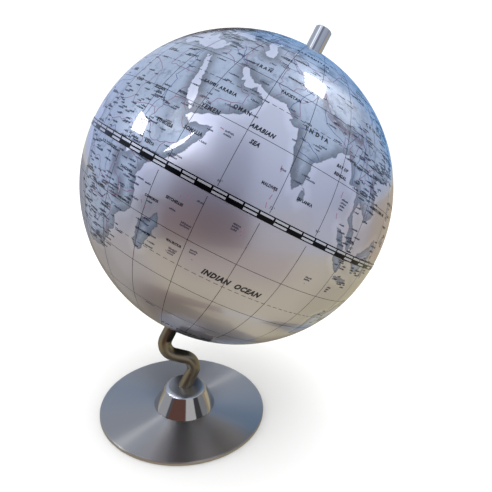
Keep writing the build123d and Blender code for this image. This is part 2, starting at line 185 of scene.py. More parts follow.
    "antarctica": """-200.0 -78.0, -158.0 -77.6, -140.0 -75.2, -104.0 -74.8, -74.0 -73.2, -66.4 -66.6, -58.0 -63.4,
        -61.6 -70.0, -62.0 -75.0, -40.0 -78.0, -20.0 -73.4, 0.0 -70.0, 34.0 -69.0, 54.0 -66.2, 70.0 -69.0, 88.0 -66.6,
        114.0 -66.4, 136.0 -66.4, 160.0 -69.8, 166.0 -77.4, 200.0 -78.0, 200.0 -95.0, -200.0 -95.0""",
}

WATERS = {
    "black sea": """28.2 41.4, 27.8 43.2, 29.6 45.2, 31.4 46.6, 33.2 46.0, 33.6 44.5, 36.4 45.2, 35.2 46.4, 38.6 47.1,
        37.6 45.0, 41.4 42.2, 38.2 41.0, 35.0 42.0, 31.4 41.2""",
    "caspian": """47.2 45.0, 51.2 47.0, 53.2 46.4, 51.4 44.6, 50.8 43.6, 52.8 42.0, 53.6 40.0, 53.8 37.2, 50.6 37.2,
        48.9 38.6, 49.6 40.4, 47.6 42.8""",
    "aral": "58.4 44.4, 59.4 46.0, 61.4 46.2, 60.2 44.2",
    "baikal": "104.0 51.5, 107.8 53.2, 109.6 55.6, 109.0 53.6, 106.0 51.7",
    "balkhash": "73.8 45.2, 76.4 46.7, 79.0 46.6, 75.4 45.7",
    "victoria": "31.8 -0.8, 32.6 0.2, 34.2 0.0, 33.6 -2.2, 32.0 -2.4",
    "tanganyika": "29.2 -3.6, 29.7 -4.0, 31.0 -8.4, 30.4 -8.2",
    "nyasa": "34.0 -9.8, 34.7 -11.0, 35.2 -14.2, 34.5 -13.6",
    "superior": "-92.0 46.8, -88.4 48.6, -84.8 46.6, -88.0 47.0",
    "michigan": "-87.6 42.0, -87.4 45.2, -85.4 45.8, -86.4 42.2",
    "huron": "-83.8 45.8, -80.2 45.4, -82.2 43.2",
    "winnipeg": "-97.6 50.6, -98.8 53.6, -97.4 53.4, -96.6 51.0",
    "slave": "-116.6 61.2, -114.0 62.4, -109.6 62.6, -114.0 60.9",
    "bear": "-124.0 66.0, -120.0 66.8, -118.4 65.4, -122.0 65.2",
    "white sea": "33.0 67.0, 38.0 66.0, 37.0 64.4, 34.6 65.0",
}

BORDERS = """25.0 31.6, 25.0 22.0, 36.8 22.0 / 15.0 23.0, 24.0 19.6, 24.0 15.8, 22.4 13.0, 23.6 8.8, 27.2 9.6, 30.0 10.2,
    33.0 10.2, 34.1 8.6, 33.0 7.8, 35.9 4.7, 39.0 3.5, 42.0 4.2, 45.0 5.0, 48.0 8.0, 44.0 8.8, 42.6 11.0 /
    36.5 14.3, 38.2 14.6, 40.2 14.4, 42.4 12.4 / 34.1 8.6, 35.0 11.8, 36.5 14.3, 37.0 17.0, 38.5 18.0 /
    41.0 -1.7, 41.0 3.2, 42.0 4.2 / 34.0 -1.0, 37.7 -3.1, 39.2 -4.7 / 34.0 -1.0, 34.0 0.6, 35.0 1.9, 34.2 4.2 /
    30.8 -1.0, 34.0 -1.0 / 34.6 -11.6, 37.8 -11.6, 40.4 -10.5 / 30.8 3.6, 31.0 2.0, 29.6 -1.0, 29.2 -3.4, 29.4 -6.2,
    28.6 -8.5, 28.4 -12.0, 29.8 -13.4, 27.0 -12.0, 24.0 -11.0 / 30.4 -8.3, 33.0 -9.4, 34.6 -11.6, 34.4 -14.0,
    30.2 -14.8, 30.4 -15.7, 27.2 -17.9, 25.3 -17.8 / 30.4 -15.7, 33.0 -16.8, 32.7 -20.0, 31.3 -22.4, 29.4 -22.2,
    25.6 -25.5, 20.0 -24.8, 20.0 -28.4, 17.0 -28.8 / 31.3 -22.4, 32.0 -26.8 / 12.5 -6.0, 16.6 -5.9, 17.5 -8.0,
    21.8 -7.4, 24.0 -11.0, 24.0 -13.0, 22.0 -13.0, 22.0 -16.2, 23.4 -17.6 / 12.0 -17.2, 18.5 -17.4, 25.3 -17.8 /
    21.0 -18.3, 21.0 -22.0, 20.0 -22.0, 20.0 -24.8 / 35.0 29.5, 37.4 30.2, 39.2 32.1, 42.0 31.1, 44.7 29.2, 47.4 29.0,
    48.4 28.5 / 42.8 16.4, 44.0 17.4, 47.0 17.0, 49.0 18.6, 52.0 19.0, 55.0 20.0, 55.2 22.7, 52.6 22.9, 51.2 24.4 /
    52.0 19.0, 53.1 16.7 / 44.8 37.2, 46.0 35.5, 45.5 33.8, 47.8 31.4, 48.5 30.0 / 36.0 36.2, 38.2 36.8, 42.3 37.2,
    44.8 37.2, 44.6 39.7, 48.0 39.6, 48.9 38.5 / 42.3 37.2, 41.0 34.4, 38.8 33.4, 39.2 32.1 / 35.6 32.7, 38.8 33.4 /
    54.0 37.4, 57.0 38.2, 61.2 36.6, 60.6 34.0, 60.8 31.5, 61.8 31.0, 60.9 29.8, 62.8 28.2, 63.2 27.2, 61.6 25.2 /
    60.9 29.8, 66.3 29.9, 66.6 31.2, 69.5 31.9, 70.0 33.9, 71.5 35.0, 74.5 37.0 / 61.2 36.6, 64.6 37.2, 68.0 37.0,
    71.4 36.7, 74.5 37.0, 73.8 39.6, 80.3 42.2 / 68.2 23.8, 71.0 24.5, 70.0 27.8, 73.5 30.0, 74.6 32.2, 74.0 34.5,
    77.8 35.5, 74.5 37.0 / 77.8 35.5, 79.0 32.5, 81.0 30.2, 85.8 28.2, 88.9 27.9, 92.0 27.7, 97.0 28.2, 98.7 27.0,
    98.2 24.0, 101.2 21.6, 102.1 22.4, 105.3 23.2, 108.0 21.6 / 80.1 28.8, 84.0 27.4, 88.1 26.4, 88.1 27.9 /
    89.0 21.8, 88.7 24.2, 88.4 26.2, 89.8 26.0, 92.2 25.1, 91.3 23.8, 92.3 21.0 / 97.0 28.2, 95.0 26.0, 94.2 24.0,
    93.2 22.3, 92.3 21.0 / 101.2 21.6, 100.1 20.4, 97.7 18.5, 98.9 16.2, 99.2 14.0, 99.6 11.8, 98.7 10.3 / 102.1 22.4,
    104.8 20.2, 105.6 18.6, 107.5 15.4, 107.5 12.4, 104.5 10.5 / 100.1 20.4, 101.0 17.8, 104.0 18.2, 105.5 14.4,
    102.6 13.6, 102.8 11.8 / 100.2 6.6, 102.0 6.2 / 47.0 45.6, 47.0 48.6, 48.5 50.6, 55.0 51.0, 61.5 53.8, 69.0 55.2,
    76.5 54.2, 80.0 51.0, 87.3 49.1, 82.5 45.5, 80.3 42.2, 74.0 43.0, 70.6 42.2, 66.0 42.0, 61.0 44.4, 56.0 45.0,
    56.0 41.3, 60.0 42.2, 64.2 38.9, 66.5 37.4 / 87.3 49.1, 92.0 45.0, 96.4 42.8, 105.0 41.6, 111.5 43.7, 119.8 46.8,
    116.0 49.8, 108.0 49.4, 98.0 50.4, 87.3 49.1 / 116.0 49.8, 120.0 53.2, 125.5 52.9, 130.7 48.8, 135.0 48.4,
    131.0 44.9, 130.6 42.3 / 124.6 40.0, 128.2 41.6, 130.6 42.3 / 126.6 37.8, 128.4 38.5 / -1.8 43.4, 3.2 42.4 /
    2.5 51.1, 6.0 49.5, 8.2 49.0, 7.6 47.6, 6.0 46.2, 7.5 43.8 / 7.6 47.6, 10.2 47.4, 13.0 47.6, 13.8 48.6, 12.2 50.2,
    15.0 51.0, 14.3 53.9 / 15.0 51.0, 18.9 49.5, 22.6 49.1, 24.0 50.6, 23.5 54.0, 19.6 54.4 / 22.6 49.1, 22.2 48.0,
    26.6 48.3, 28.2 45.5 / 23.5 54.0, 28.0 56.2, 27.4 58.6, 28.0 59.6 / 24.0 51.7, 30.6 51.4, 34.0 52.3, 40.0 49.6,
    38.2 47.1 / 31.8 52.2, 31.0 54.8, 28.0 56.2 / 13.6 45.6, 16.4 46.6, 18.8 45.8, 22.6 44.4, 28.6 43.8 / 22.4 42.3,
    26.4 41.7 / 19.0 42.4, 20.6 42.0, 21.0 40.8, 23.0 41.3 / 28.0 60.6, 31.5 62.9, 29.6 66.4, 29.0 69.4 / 11.3 59.1,
    12.4 61.6, 14.2 64.6, 20.3 69.0, 25.5 69.0 / 5.8 53.3, 7.0 52.0, 6.0 49.5 / 40.0 43.4, 44.6 42.7, 48.4 41.8 /
    41.5 41.5, 43.8 40.2, 44.6 39.7 / -2.2 35.0, -1.3 32.3, -8.7 28.7, -8.7 27.3, -12.0 23.4 / -8.7 27.3, -4.8 25.0,
    3.2 19.1, 12.0 23.5, 10.0 26.6, 9.5 30.2, 11.5 33.1 / -5.5 15.5, -6.5 25.0 / -12.2 14.8, -5.5 15.5, 0.2 15.0,
    3.6 11.7, 7.0 13.1, 13.5 13.7, 15.5 16.9, 15.0 23.0 / 3.6 11.7, 2.7 6.4 / 8.6 4.8, 11.5 6.6, 14.2 10.4, 14.2 12.8 /
    15.5 7.6, 19.0 9.0, 22.8 10.9 / 14.6 4.0, 18.6 3.5, 22.5 4.2, 27.4 5.1, 30.8 3.6 / 11.2 -3.9, 14.5 -4.8, 16.2 -2.0,
    18.0 1.0, 18.6 3.5 / 9.6 1.0, 13.2 2.2, 14.4 -2.2, 11.2 -3.9 / -11.5 12.2, -8.0 10.4, -8.2 7.6, -7.6 4.4 /
    -3.0 5.1, -2.8 9.8, 0.2 11.0, 0.6 6.0 / -123.0 49.0, -95.0 49.0, -89.6 48.0, -84.6 46.5, -82.5 42.5, -79.0 43.3,
    -75.0 45.0, -71.0 45.0, -69.3 47.3, -67.5 45.5 / -117.0 32.5, -111.0 31.4, -106.5 31.8, -103.0 29.0, -99.4 27.0,
    -97.3 25.9 / -141.0 69.6, -141.0 60.3, -135.0 59.2, -130.2 55.4 / -92.2 14.6, -90.4 16.1, -89.2 17.9 / -89.4 14.4,
    -86.0 14.0, -83.4 15.0 / -85.7 11.1, -83.7 10.9 / -51.6 4.2, -54.5 2.3, -60.0 5.0, -64.0 4.1, -67.3 2.0,
    -69.8 0.8, -70.0 -4.3, -73.9 -7.3, -70.6 -10.9, -65.4 -9.7, -60.0 -13.8, -57.8 -19.0, -57.9 -22.1, -54.4 -24.2,
    -53.8 -27.1, -57.6 -30.2, -53.5 -33.7 / -69.9 -18.3, -68.0 -22.9, -69.8 -30.0, -71.0 -38.0, -72.0 -46.0,
    -72.2 -50.4, -69.0 -52.3 / -68.0 -22.9, -62.7 -22.2, -58.2 -25.4, -57.6 -30.2 / -80.3 -3.4, -75.6 -0.2,
    -70.0 -4.3 / -69.0 -11.0, -69.4 -17.6, -69.9 -18.3 / -72.0 11.8, -72.4 7.4, -67.5 6.2, -67.3 2.0 / -78.8 1.4,
    -75.6 -0.2 / 141.0 -2.6, 141.0 -9.1 / 129.0 -15.0, 129.0 -31.7 / 138.0 -16.4, 138.0 -26.0, 141.0 -26.0,
    141.0 -38.0 / 129.0 -26.0, 138.0 -26.0 / 141.0 -29.0, 149.0 -29.0, 153.4 -28.2 / 109.6 2.0, 112.0 1.4, 114.8 2.2,
    117.6 4.2"""

RIVERS = """31.2 30.6, 31.0 27.6, 32.7 25.4, 32.8 22.6, 31.0 19.6, 33.2 18.4, 32.6 15.6, 32.6 12.0, 31.6 9.4, 31.0 6.0,
    31.6 3.4, 33.0 0.4 / 32.6 15.6, 35.1 11.5, 37.4 11.8 / 38.2 38.4, 38.8 36.2, 41.0 34.4, 44.2 32.5, 47.6 31.0,
    48.4 30.0 / 41.0 37.6, 43.2 36.2, 44.4 33.4, 47.0 31.8 / 81.4 32.0, 76.6 34.8, 72.8 34.8, 71.6 31.8, 68.6 27.6,
    67.6 24.2 / 78.4 30.2, 80.4 26.4, 84.0 25.5, 88.0 24.6, 90.4 23.0 / 82.0 30.2, 89.0 29.4, 95.0 29.6, 92.0 26.4,
    89.8 24.6 / 73.8 20.0, 78.2 18.9, 81.6 16.8 / 74.6 16.4, 80.6 15.9 / 81.4 22.6, 75.6 22.4, 72.8 21.6 /
    92.0 34.0, 98.6 31.0, 101.8 26.2, 106.4 29.4, 112.0 30.0, 117.0 31.0, 121.4 31.6 / 96.0 35.0, 103.6 36.0,
    107.6 40.6, 111.0 37.6, 114.0 34.9, 118.6 37.6 / 95.0 33.0, 98.8 26.4, 101.4 21.0, 104.8 17.6, 105.8 13.4,
    106.4 10.4 / 97.4 26.6, 96.2 23.0, 94.8 20.0, 95.4 16.2 / 99.0 30.6, 98.6 22.6, 97.6 17.0 / 12.6 -6.0, 15.6 -4.2,
    18.0 0.4, 22.0 2.0, 25.4 0.4, 26.0 -5.0, 26.4 -10.0 / -10.6 9.6, -5.0 13.6, 0.0 16.8, 4.2 12.2, 6.8 7.6, 6.2 4.6 /
    23.0 -12.6, 23.4 -16.4, 27.6 -17.4, 30.4 -15.7, 35.6 -17.6, 36.2 -18.8 / 19.6 -29.0, 24.6 -29.4, 28.6 -30.0 /
    17.0 -28.6, 19.6 -29.0 / 32.6 57.0, 38.6 57.8, 46.0 56.4, 49.2 54.4, 46.4 50.4, 48.0 46.0 / 83.0 51.6, 82.6 55.0,
    74.4 58.6, 69.0 61.0, 66.8 66.4, 72.0 67.0 / 94.0 51.6, 92.4 56.6, 90.4 61.8, 86.6 66.6, 84.0 71.6 / 107.6 54.0,
    117.0 60.0, 129.6 62.2, 124.4 66.4, 127.4 72.6 / 8.2 48.0, 13.0 48.6, 19.0 47.4, 20.4 45.0, 27.0 44.0, 29.4 45.2 /
    33.6 53.0, 30.6 50.4, 35.0 48.2, 32.6 46.6 / 38.6 53.6, 42.8 49.4, 39.4 47.2 / -77.0 -10.0, -74.0 -4.4,
    -67.0 -3.0, -60.0 -3.2, -54.0 -2.2, -50.4 -0.2 / -95.0 47.4, -91.0 43.0, -90.2 38.6, -91.0 32.6, -89.4 29.4 /
    -112.0 46.4, -104.0 47.8, -96.6 42.0, -90.2 38.6 / -134.8 68.8, -126.0 65.0, -118.0 61.4 / -51.0 -20.0,
    -55.4 -25.6, -58.6 -32.0, -58.4 -34.0 / 148.0 -36.0, 143.0 -34.4, 139.4 -35.4 / -62.6 5.6, -66.6 7.6, -62.0 8.8 /
    65.4 36.8, 62.4 39.4, 59.4 43.4 / 73.0 41.0, 67.6 42.6, 61.6 46.0 / 140.8 53.0, 134.8 48.4, 126.8 50.4, 121.0 53.2"""

# Public names of seas and countries: text, longitude, latitude, cap height in mm, gap between letters
SEA_NAMES = (
    ("INDIAN  OCEAN", 76.9, -21.3, 3.9, 1.0), ("ARABIAN", 63.6, 16.5, 2.7, 1.0), ("SEA", 63.3, 13.1, 2.7, 1.0),
    ("BAY OF", 89.9, 18.4, 2.0, 1.0), ("BENGAL", 89.9, 16.4, 2.0, 1.0), ("ATLANTIC  OCEAN", -30.0, 28.0, 4.2, 1.3),
    ("SOUTH ATLANTIC", -14.0, -24.0, 4.0, 1.2), ("PACIFIC  OCEAN", -150.0, 20.0, 4.2, 1.4),
    ("SOUTH PACIFIC", -120.0, -26.0, 4.2, 1.3), ("PACIFIC  OCEAN", 162.0, 24.0, 4.0, 1.3),
    ("ARCTIC OCEAN", 20.0, 82.0, 2.6, 1.1), ("SOUTHERN OCEAN", 80.0, -56.0, 3.4, 1.3),
    ("SOUTHERN OCEAN", -120.0, -58.0, 3.4, 1.3), ("TASMAN SEA", 160.0, -38.0, 2.4, 1.0),
    ("CORAL SEA", 154.0, -17.0, 2.2, 1.0), ("SOUTH CHINA SEA", 113.0, 14.0, 1.9, 0.95),
    ("PHILIPPINE SEA", 132.0, 18.0, 2.2, 1.0), ("BERING SEA", -178.0, 58.0, 2.2, 1.0),
    ("CARIBBEAN SEA", -75.0, 15.0, 2.0, 0.95), ("GULF OF MEXICO", -90.0, 25.0, 1.9, 0.95),
    ("LABRADOR SEA", -54.0, 58.0, 1.9, 0.95), ("NORWEGIAN SEA", 2.0, 68.0, 1.9, 0.95),
    ("MEDITERRANEAN", 17.6, 34.6, 1.4, 0.95), ("HUDSON BAY", -85.6, 60.0, 1.8, 0.95),
)

LAND_NAMES = (
    ("SAUDI ARABIA", 46.6, 21.2, 2.3, 1.12), ("OMAN", 56.0, 18.6, 2.6, 1.15), ("YEMEN", 48.2, 15.4, 2.8, 1.1),
    ("IRAN", 53.8, 32.4, 2.6, 1.35), ("IRAQ", 43.6, 33.2, 1.7, 1.0), ("PAKISTAN", 66.4, 28.2, 2.2, 0.95),
    ("AFGHANISTAN", 66.0, 33.6, 1.5, 0.9), ("INDIA", 78.4, 22.4, 2.8, 1.75), ("SRI LANKA", 82.4, 6.9, 1.8, 0.9),
    ("MALDIVES", 71.8, 6.4, 1.8, 0.9), ("NEPAL", 84.0, 28.2, 1.3, 0.9), ("CHINA", 104.0, 35.0, 2.6, 1.7),
    ("MYANMAR", 96.2, 21.0, 1.5, 0.9), ("THAILAND", 101.6, 15.6, 1.5, 0.9), ("VIETNAM", 108.4, 14.0, 1.3, 0.9),
    ("MALAYSIA", 103.6, 3.6, 1.4, 0.9), ("INDONESIA", 113.6, -0.6, 1.8, 1.2), ("SUDAN", 29.9, 14.8, 2.2, 0.95),
    ("ERITREA", 38.0, 16.0, 1.5, 0.9), ("ETHIOPIA", 38.8, 8.0, 2.2, 0.95), ("SOMALIA", 47.4, 9.2, 2.3, 0.95),
    ("KENYA", 37.6, 2.5, 1.8, 0.95), ("UGANDA", 32.2, 2.0, 1.2, 0.9), ("TANZANIA", 35.0, -6.2, 1.7, 0.95),
    ("EGYPT", 29.4, 26.6, 2.2, 1.0), ("LIBYA", 17.6, 26.8, 2.4, 1.1), ("CHAD", 18.6, 15.0, 2.2, 1.0),
    ("NIGER", 9.6, 17.4, 2.2, 1.0), ("NIGERIA", 7.8, 9.6, 1.9, 0.95), ("ALGERIA", 2.6, 28.0, 2.6, 1.2),
    ("MALI", -3.6, 18.4, 2.2, 1.0), ("MAURITANIA", -11.0, 19.6, 1.6, 0.9), ("MOROCCO", -6.6, 31.8, 1.5, 0.9),
    ("CAMEROON", 12.6, 5.6, 1.2, 0.85), ("CONGO", 15.4, -0.4, 1.4, 0.9), ("D.R. CONGO", 23.6, -2.8, 2.0, 1.0),
    ("ANGOLA", 17.6, -12.2, 2.2, 1.0), ("ZAMBIA", 26.4, -14.4, 1.8, 0.95), ("NAMIBIA", 17.0, -21.6, 1.7, 0.95),
    ("BOTSWANA", 23.6, -22.6, 1.4, 0.9), ("SOUTH AFRICA", 24.0, -30.6, 1.9, 0.95), ("ZIMBABWE", 29.6, -19.4, 1.3, 0.9),
    ("MOZAMBIQUE", 37.4, -14.2, 1.3, 0.85), ("MADAGASCAR", 46.6, -19.4, 1.4, 0.85), ("COMOROS", 46.2, -9.6, 1.6, 0.9),
    ("SEYCHELLES", 52.6, -7.2, 1.7, 0.9), ("MAURITIUS", 56.8, -17.8, 1.6, 0.9), ("TURKEY", 34.8, 39.2, 1.9, 0.95),
    ("SYRIA", 38.4, 35.2, 1.2, 0.85), ("TURKMENISTAN", 59.0, 39.8, 1.3, 0.85), ("UZBEKISTAN", 63.4, 42.0, 1.3, 0.85),
    ("KAZAKHSTAN", 68.0, 48.6, 2.4, 1.2), ("MONGOLIA", 103.6, 46.6, 2.3, 1.2), ("RUSSIA", 98.0, 62.0, 4.4, 2.4),
    ("RUSSIA", 46.0, 57.0, 2.4, 1.4), ("UKRAINE", 31.6, 49.2, 1.6, 0.95), ("POLAND", 19.4, 52.2, 1.4, 0.9),
    ("GERMANY", 10.4, 51.4, 1.3, 0.85), ("FRANCE", 2.6, 47.0, 1.6, 0.95), ("SPAIN", -3.8, 40.0, 1.7, 0.95),
    ("ITALY", 12.0, 43.2, 1.1, 0.85), ("ROMANIA", 25.0, 46.0, 1.2, 0.85), ("SWEDEN", 15.4, 62.4, 1.4, 0.9),
    ("NORWAY", 9.4, 61.4, 1.2, 0.85), ("FINLAND", 26.4, 63.8, 1.2, 0.85), ("JAPAN", 138.2, 36.6, 1.4, 0.9),
    ("KOREA", 127.8, 36.4, 1.1, 0.85), ("PHILIPPINES", 122.6, 11.4, 1.4, 0.9), ("PAPUA NEW GUINEA", 144.0, -6.6, 1.0, 0.8),
    ("AUSTRALIA", 134.0, -24.6, 4.2, 1.8), ("NEW ZEALAND", 173.4, -43.6, 1.4, 0.9), ("CANADA", -108.0, 58.0, 4.2, 2.2),
    ("UNITED STATES", -99.0, 39.6, 3.4, 1.5), ("MEXICO", -102.6, 23.6, 2.4, 1.2), ("GREENLAND", -41.0, 73.0, 2.6, 1.2),
    ("CUBA", -79.0, 21.5, 1.1, 0.85), ("BRAZIL", -52.0, -9.6, 4.0, 2.0), ("ARGENTINA", -65.4, -36.0, 2.2, 1.1),
    ("CHILE", -71.2, -28.6, 1.2, 0.9), ("PERU", -75.0, -9.6, 2.0, 1.0), ("BOLIVIA", -64.6, -16.6, 1.8, 1.0),
    ("COLOMBIA", -73.0, 4.2, 1.7, 0.95), ("VENEZUELA", -66.0, 7.4, 1.7, 0.95), ("PARAGUAY", -58.6, -23.2, 1.2, 0.9),
    ("ECUADOR", -78.4, -1.2, 1.1, 0.85), ("ANTARCTICA", 60.0, -76.0, 3.0, 1.6), ("ICELAND", -18.6, 65.0, 1.1, 0.85),
    ("ALASKA", -152.0, 65.4, 2.0, 1.1), ("UNITED KINGDOM", -1.8, 52.8, 0.9, 0.8),
)

# Notes beside island groups: longitude, latitude, rows, strokes in the first row
ISLAND_NOTES = (
    (55.5, 12.4, 2, 9), (43.0, -6.7, 1, 7), (45.4, -10.9, 1, 6), (58.4, -4.4, 1, 7), (57.2, -11.4, 2, 11),
    (56.4, -19.9, 3, 9), (62.2, -17.2, 2, 8), (69.4, -5.2, 3, 8), (52.0, -46.0, 1, 11), (93.8, 11.6, 4, 9),
    (96.3, -10.2, 2, 9), (107.0, -10.9, 3, 7), (113.4, -9.6, 1, 9), (117.0, -20.0, 1, 6), (72.0, 18.1, 1, 5),
    (72.6, 10.8, 1, 6), (52.4, -9.6, 1, 7), (-25.0, 16.0, 2, 8), (-28.0, 38.6, 2, 7), (-14.0, -8.0, 1, 8),
    (-155.0, 20.6, 2, 7), (-150.0, -17.6, 2, 9), (-90.0, -0.6, 1, 9), (167.0, 9.6, 2, 9), (178.0, -17.6, 1, 6),
)

# Reefs and island chains
ISLETS = """73.0 6.8, 73.4 5.6 / 73.5 5.0, 73.2 3.8 / 73.0 3.0, 73.4 1.8 / 73.2 0.9, 73.1 0.3 / 72.2 -5.2, 71.8 -6.2 /
    71.4 -6.8, 72.2 -7.3 / 55.4 -4.4, 55.8 -4.9 / 53.6 -5.2, 53.9 -5.6 / 43.3 -11.4, 43.8 -12.2 / 45.0 -12.7, 45.3 -13.0 /
    55.2 -20.9, 55.8 -21.2 / 57.3 -20.1, 57.8 -20.4 / 63.2 -19.7, 63.6 -19.8 / 92.8 13.4, 92.7 11.8 / 93.4 8.2, 93.9 7.0 /
    72.4 11.6, 72.8 10.2 / 53.4 12.6, 54.5 12.5 / 96.7 -12.0, 97.0 -12.3 / -156.0 20.2, -155.2 19.4 / -158.2 21.6, -157.8 21.3 /
    -25.2 17.0, -23.6 15.2 / 178.0 -18.0, 178.8 -17.0 / 164.2 -20.2, 166.8 -22.2 / -61.4 16.2, -61.0 13.2"""

# The highest mountains, and the rest, printed darker and redder than the plains
HIGH_RANGES = "73.0 35.4, 76.6 34.4, 80.0 31.0, 85.0 28.8, 91.0 28.2, 96.0 28.8"
RANGES = """66.0 33.0, 71.0 35.6, 76.6 35.2, 80.0 31.4, 85.0 29.2, 91.0 28.6, 97.0 29.0 / 72.0 39.0, 79.0 42.0, 86.0 43.4 /
    78.0 36.0, 88.0 36.4, 98.0 38.0 / 44.0 37.6, 47.0 34.0, 51.0 30.4, 56.0 28.0 / 48.0 36.6, 52.0 36.0, 57.0 37.4 /
    38.0 13.0, 39.6 9.0, 38.0 6.6 / 43.4 17.0, 44.4 14.0 / 40.0 20.6, 42.0 18.4 / 73.4 19.0, 75.0 14.0, 77.0 10.0 /
    98.0 33.0, 101.0 29.0, 100.0 25.0 / 6.0 45.0, 10.0 46.6, 14.0 47.0 / 60.0 52.0, 59.4 60.0, 64.0 67.0 / 86.0 49.6, 94.0 51.6,
    106.0 51.6 / 29.0 -30.0, 31.0 -24.6 / -6.0 31.6, 2.0 34.6, 8.0 35.8 / 36.0 40.4, 43.0 41.6, 47.0 41.8 / -122.0 50.0,
    -114.0 46.0, -107.0 39.0, -105.0 33.0 / -136.0 61.0, -127.0 54.0 / -76.0 4.0, -78.6 -4.0, -71.0 -15.0, -68.0 -24.0,
    -70.0 -34.0, -72.6 -44.0 / -83.0 36.0, -77.0 40.6 / 139.0 -4.4, 146.0 -7.0 / 148.0 -35.6, 150.0 -30.0, 146.0 -19.6 /
    130.0 64.0, 140.0 66.0, 150.0 62.0"""


def linear(code):
    """Turns an sRGB hex colour into the linear colour that shaders use."""
    parts = np.array([int(code[i : i + 2], 16) for i in (1, 3, 5)]) / 255
    return tuple(np.where(parts <= 0.04045, parts / 12.92, ((parts + 0.055) / 1.055) ** 2.4))


def colour(name, description, code):
    """A colour that the panel shows, given by its hex value."""
    return FloatVectorProperty(
        name=name, description=description, subtype="COLOR", size=3, min=0, max=1, default=linear(code)
    )


def length(name, description, millimetres):
    """A size that the panel shows, given in millimetres."""
    return FloatProperty(name=name, description=description, unit="LENGTH", precision=5, default=millimetres * MM)


class MapSizes(bpy.types.PropertyGroup):
    """Sizes and inks of the printed map."""

    sea: colour("Sea", "Lilac silver ink of the seas", "#C6C4CE")
    plain: colour("Plains", "Blue grey ink of the lowlands", "#8D9AB0")
    upland: colour("Uplands", "Darker ink mottled over the land", "#566580")
    mountain: colour("Mountains", "Reddish ink along the mountain chains", "#221624")
    ice: colour("Ice", "Pale ink of the ice caps", "#B9BAC4")
    shore: colour("Shore", "Dark ink inside the coastline", "#2B3343")
    black: colour("Black", "Lettering and grid", "#0E1018")
    border: colour("Borders", "Country borders", "#6F4B6A")
    river: colour("Rivers", "Rivers and lakes", "#33487A")
    varnish: FloatProperty(name="Varnish", description="Gloss varnish over the print", subtype="FACTOR", default=1)
    north_stretch: FloatProperty(
        name="North stretch", description="How much further north the northern sheet is printed", default=0.19
    )
    north_turn: FloatProperty(
        name="North turn", description="Turn of the northern sheet against the southern", subtype="ANGLE",
        default=math.radians(1.08),
    )
    prime_meridian: FloatProperty(
        name="Prime meridian", description="Turn of the whole map at rest", subtype="ANGLE", default=math.radians(185.2)
    )
    grid_step: IntProperty(name="Grid step", description="Degrees between grid lines", default=15, min=5, max=30)
    grid_line: length("Grid line", "Width of a grid line", 0.32)
    border_line: length("Border line", "Width of a country border", 0.36)
    river_line: length("River line", "Width of a river", 0.38)
    coast_line: FloatProperty(name="Coast line", description="Width of the coastline in degrees", default=0.26)
    sheet: length("Sheet", "Thickness of the printed sheet", 0.1)
    towns: IntProperty(name="Towns", description="How many town marks are scattered on the land", default=1450)


class StandSizes(bpy.types.PropertyGroup):
    """Finishes of the stand."""

    steel: colour("Steel", "Stainless steel", "#C0BFBE")
    base: colour("Base steel", "Brushed base plate", "#BAB6B2")
    nylon: colour("Nylon", "Natural nylon washers", "#D9D5C8")
    felt: colour("Felt", "Felt pad under the base", "#1C1C1F")
    brushing: length("Brushing", "Spacing of the brush marks", 0.35)


class StageSizes(bpy.types.PropertyGroup):
    """Floor, lights and camera."""

    floor: colour("Floor", "Plain pale floor", "#FBFBFA")
    sky: colour("Room", "Pale light of the room", "#FFFFFF")
    light: FloatProperty(name="Room light", description="Strength of the room light", default=1.12)
    lens: FloatProperty(name="Lens", description="Focal length", unit="CAMERA", default=30.243)


SETTINGS = (("globe_map", MapSizes), ("globe_stand", StandSizes), ("globe_stage", StageSizes))


def settings(name):
    """The sizes of one part of the object, as the panel holds them."""
    return getattr(bpy.context.scene, name)


# ---------------------------------------------------------------------------
# Places on the ball
# ---------------------------------------------------------------------------


def numbers(text):
    """Reads "lon lat, lon lat" into an array of points."""
    return np.array([pair.split() for pair in text.split(",")], float)


def lines_of(text):
    """Reads lines that are parted by a slash."""
    return [numbers(part) for part in text.split("/")]


def ball_degrees(lon, lat, north):
    """Map degrees to degrees on the ball: the northern sheet is stretched by 1 + s(1 - (lat/90)^2) and turned."""
    if not north:
        return lon, lat
    sizes = settings("globe_map")
    stretch = 1 + sizes.north_stretch * (1 - (lat / 90) ** 2)
    return lon + math.degrees(sizes.north_turn), lat * stretch


def map_degrees(lon, lat, north):
    """The way back from ball degrees to map degrees, by interpolating the stretch."""
    if not north:
        return lon, lat
    steps = np.linspace(0, 90, 721)
    turned, stretched = ball_degrees(steps * 0, steps, True)
    return lon - turned[0], np.interp(lat, stretched, steps)


def on_ball(lon, lat, radius):
    """A point at ball longitude and latitude: centre + r(cos b cos l OUT + cos b sin l SIDE + sin b NORTH)."""
    turn = np.radians(lon) + settings("globe_map").prime_meridian
    rise = np.radians(lat)
    round_axis = np.cos(turn)[..., None] * OUT + np.sin(turn)[..., None] * SIDE
    return CENTRE + np.asarray(radius)[..., None] * (np.cos(rise)[..., None] * round_axis + np.sin(rise)[..., None] * NORTH)


def printed(lon, lat, radius):
    """A printed place on whichever sheet holds it, at a radius from the ball's centre."""
    north = lat > 0
    north_lon, north_lat = ball_degrees(lon, lat, True)
    return on_ball(np.where(north, north_lon, lon), np.where(north, north_lat, lat), np.full(np.shape(lon), radius))


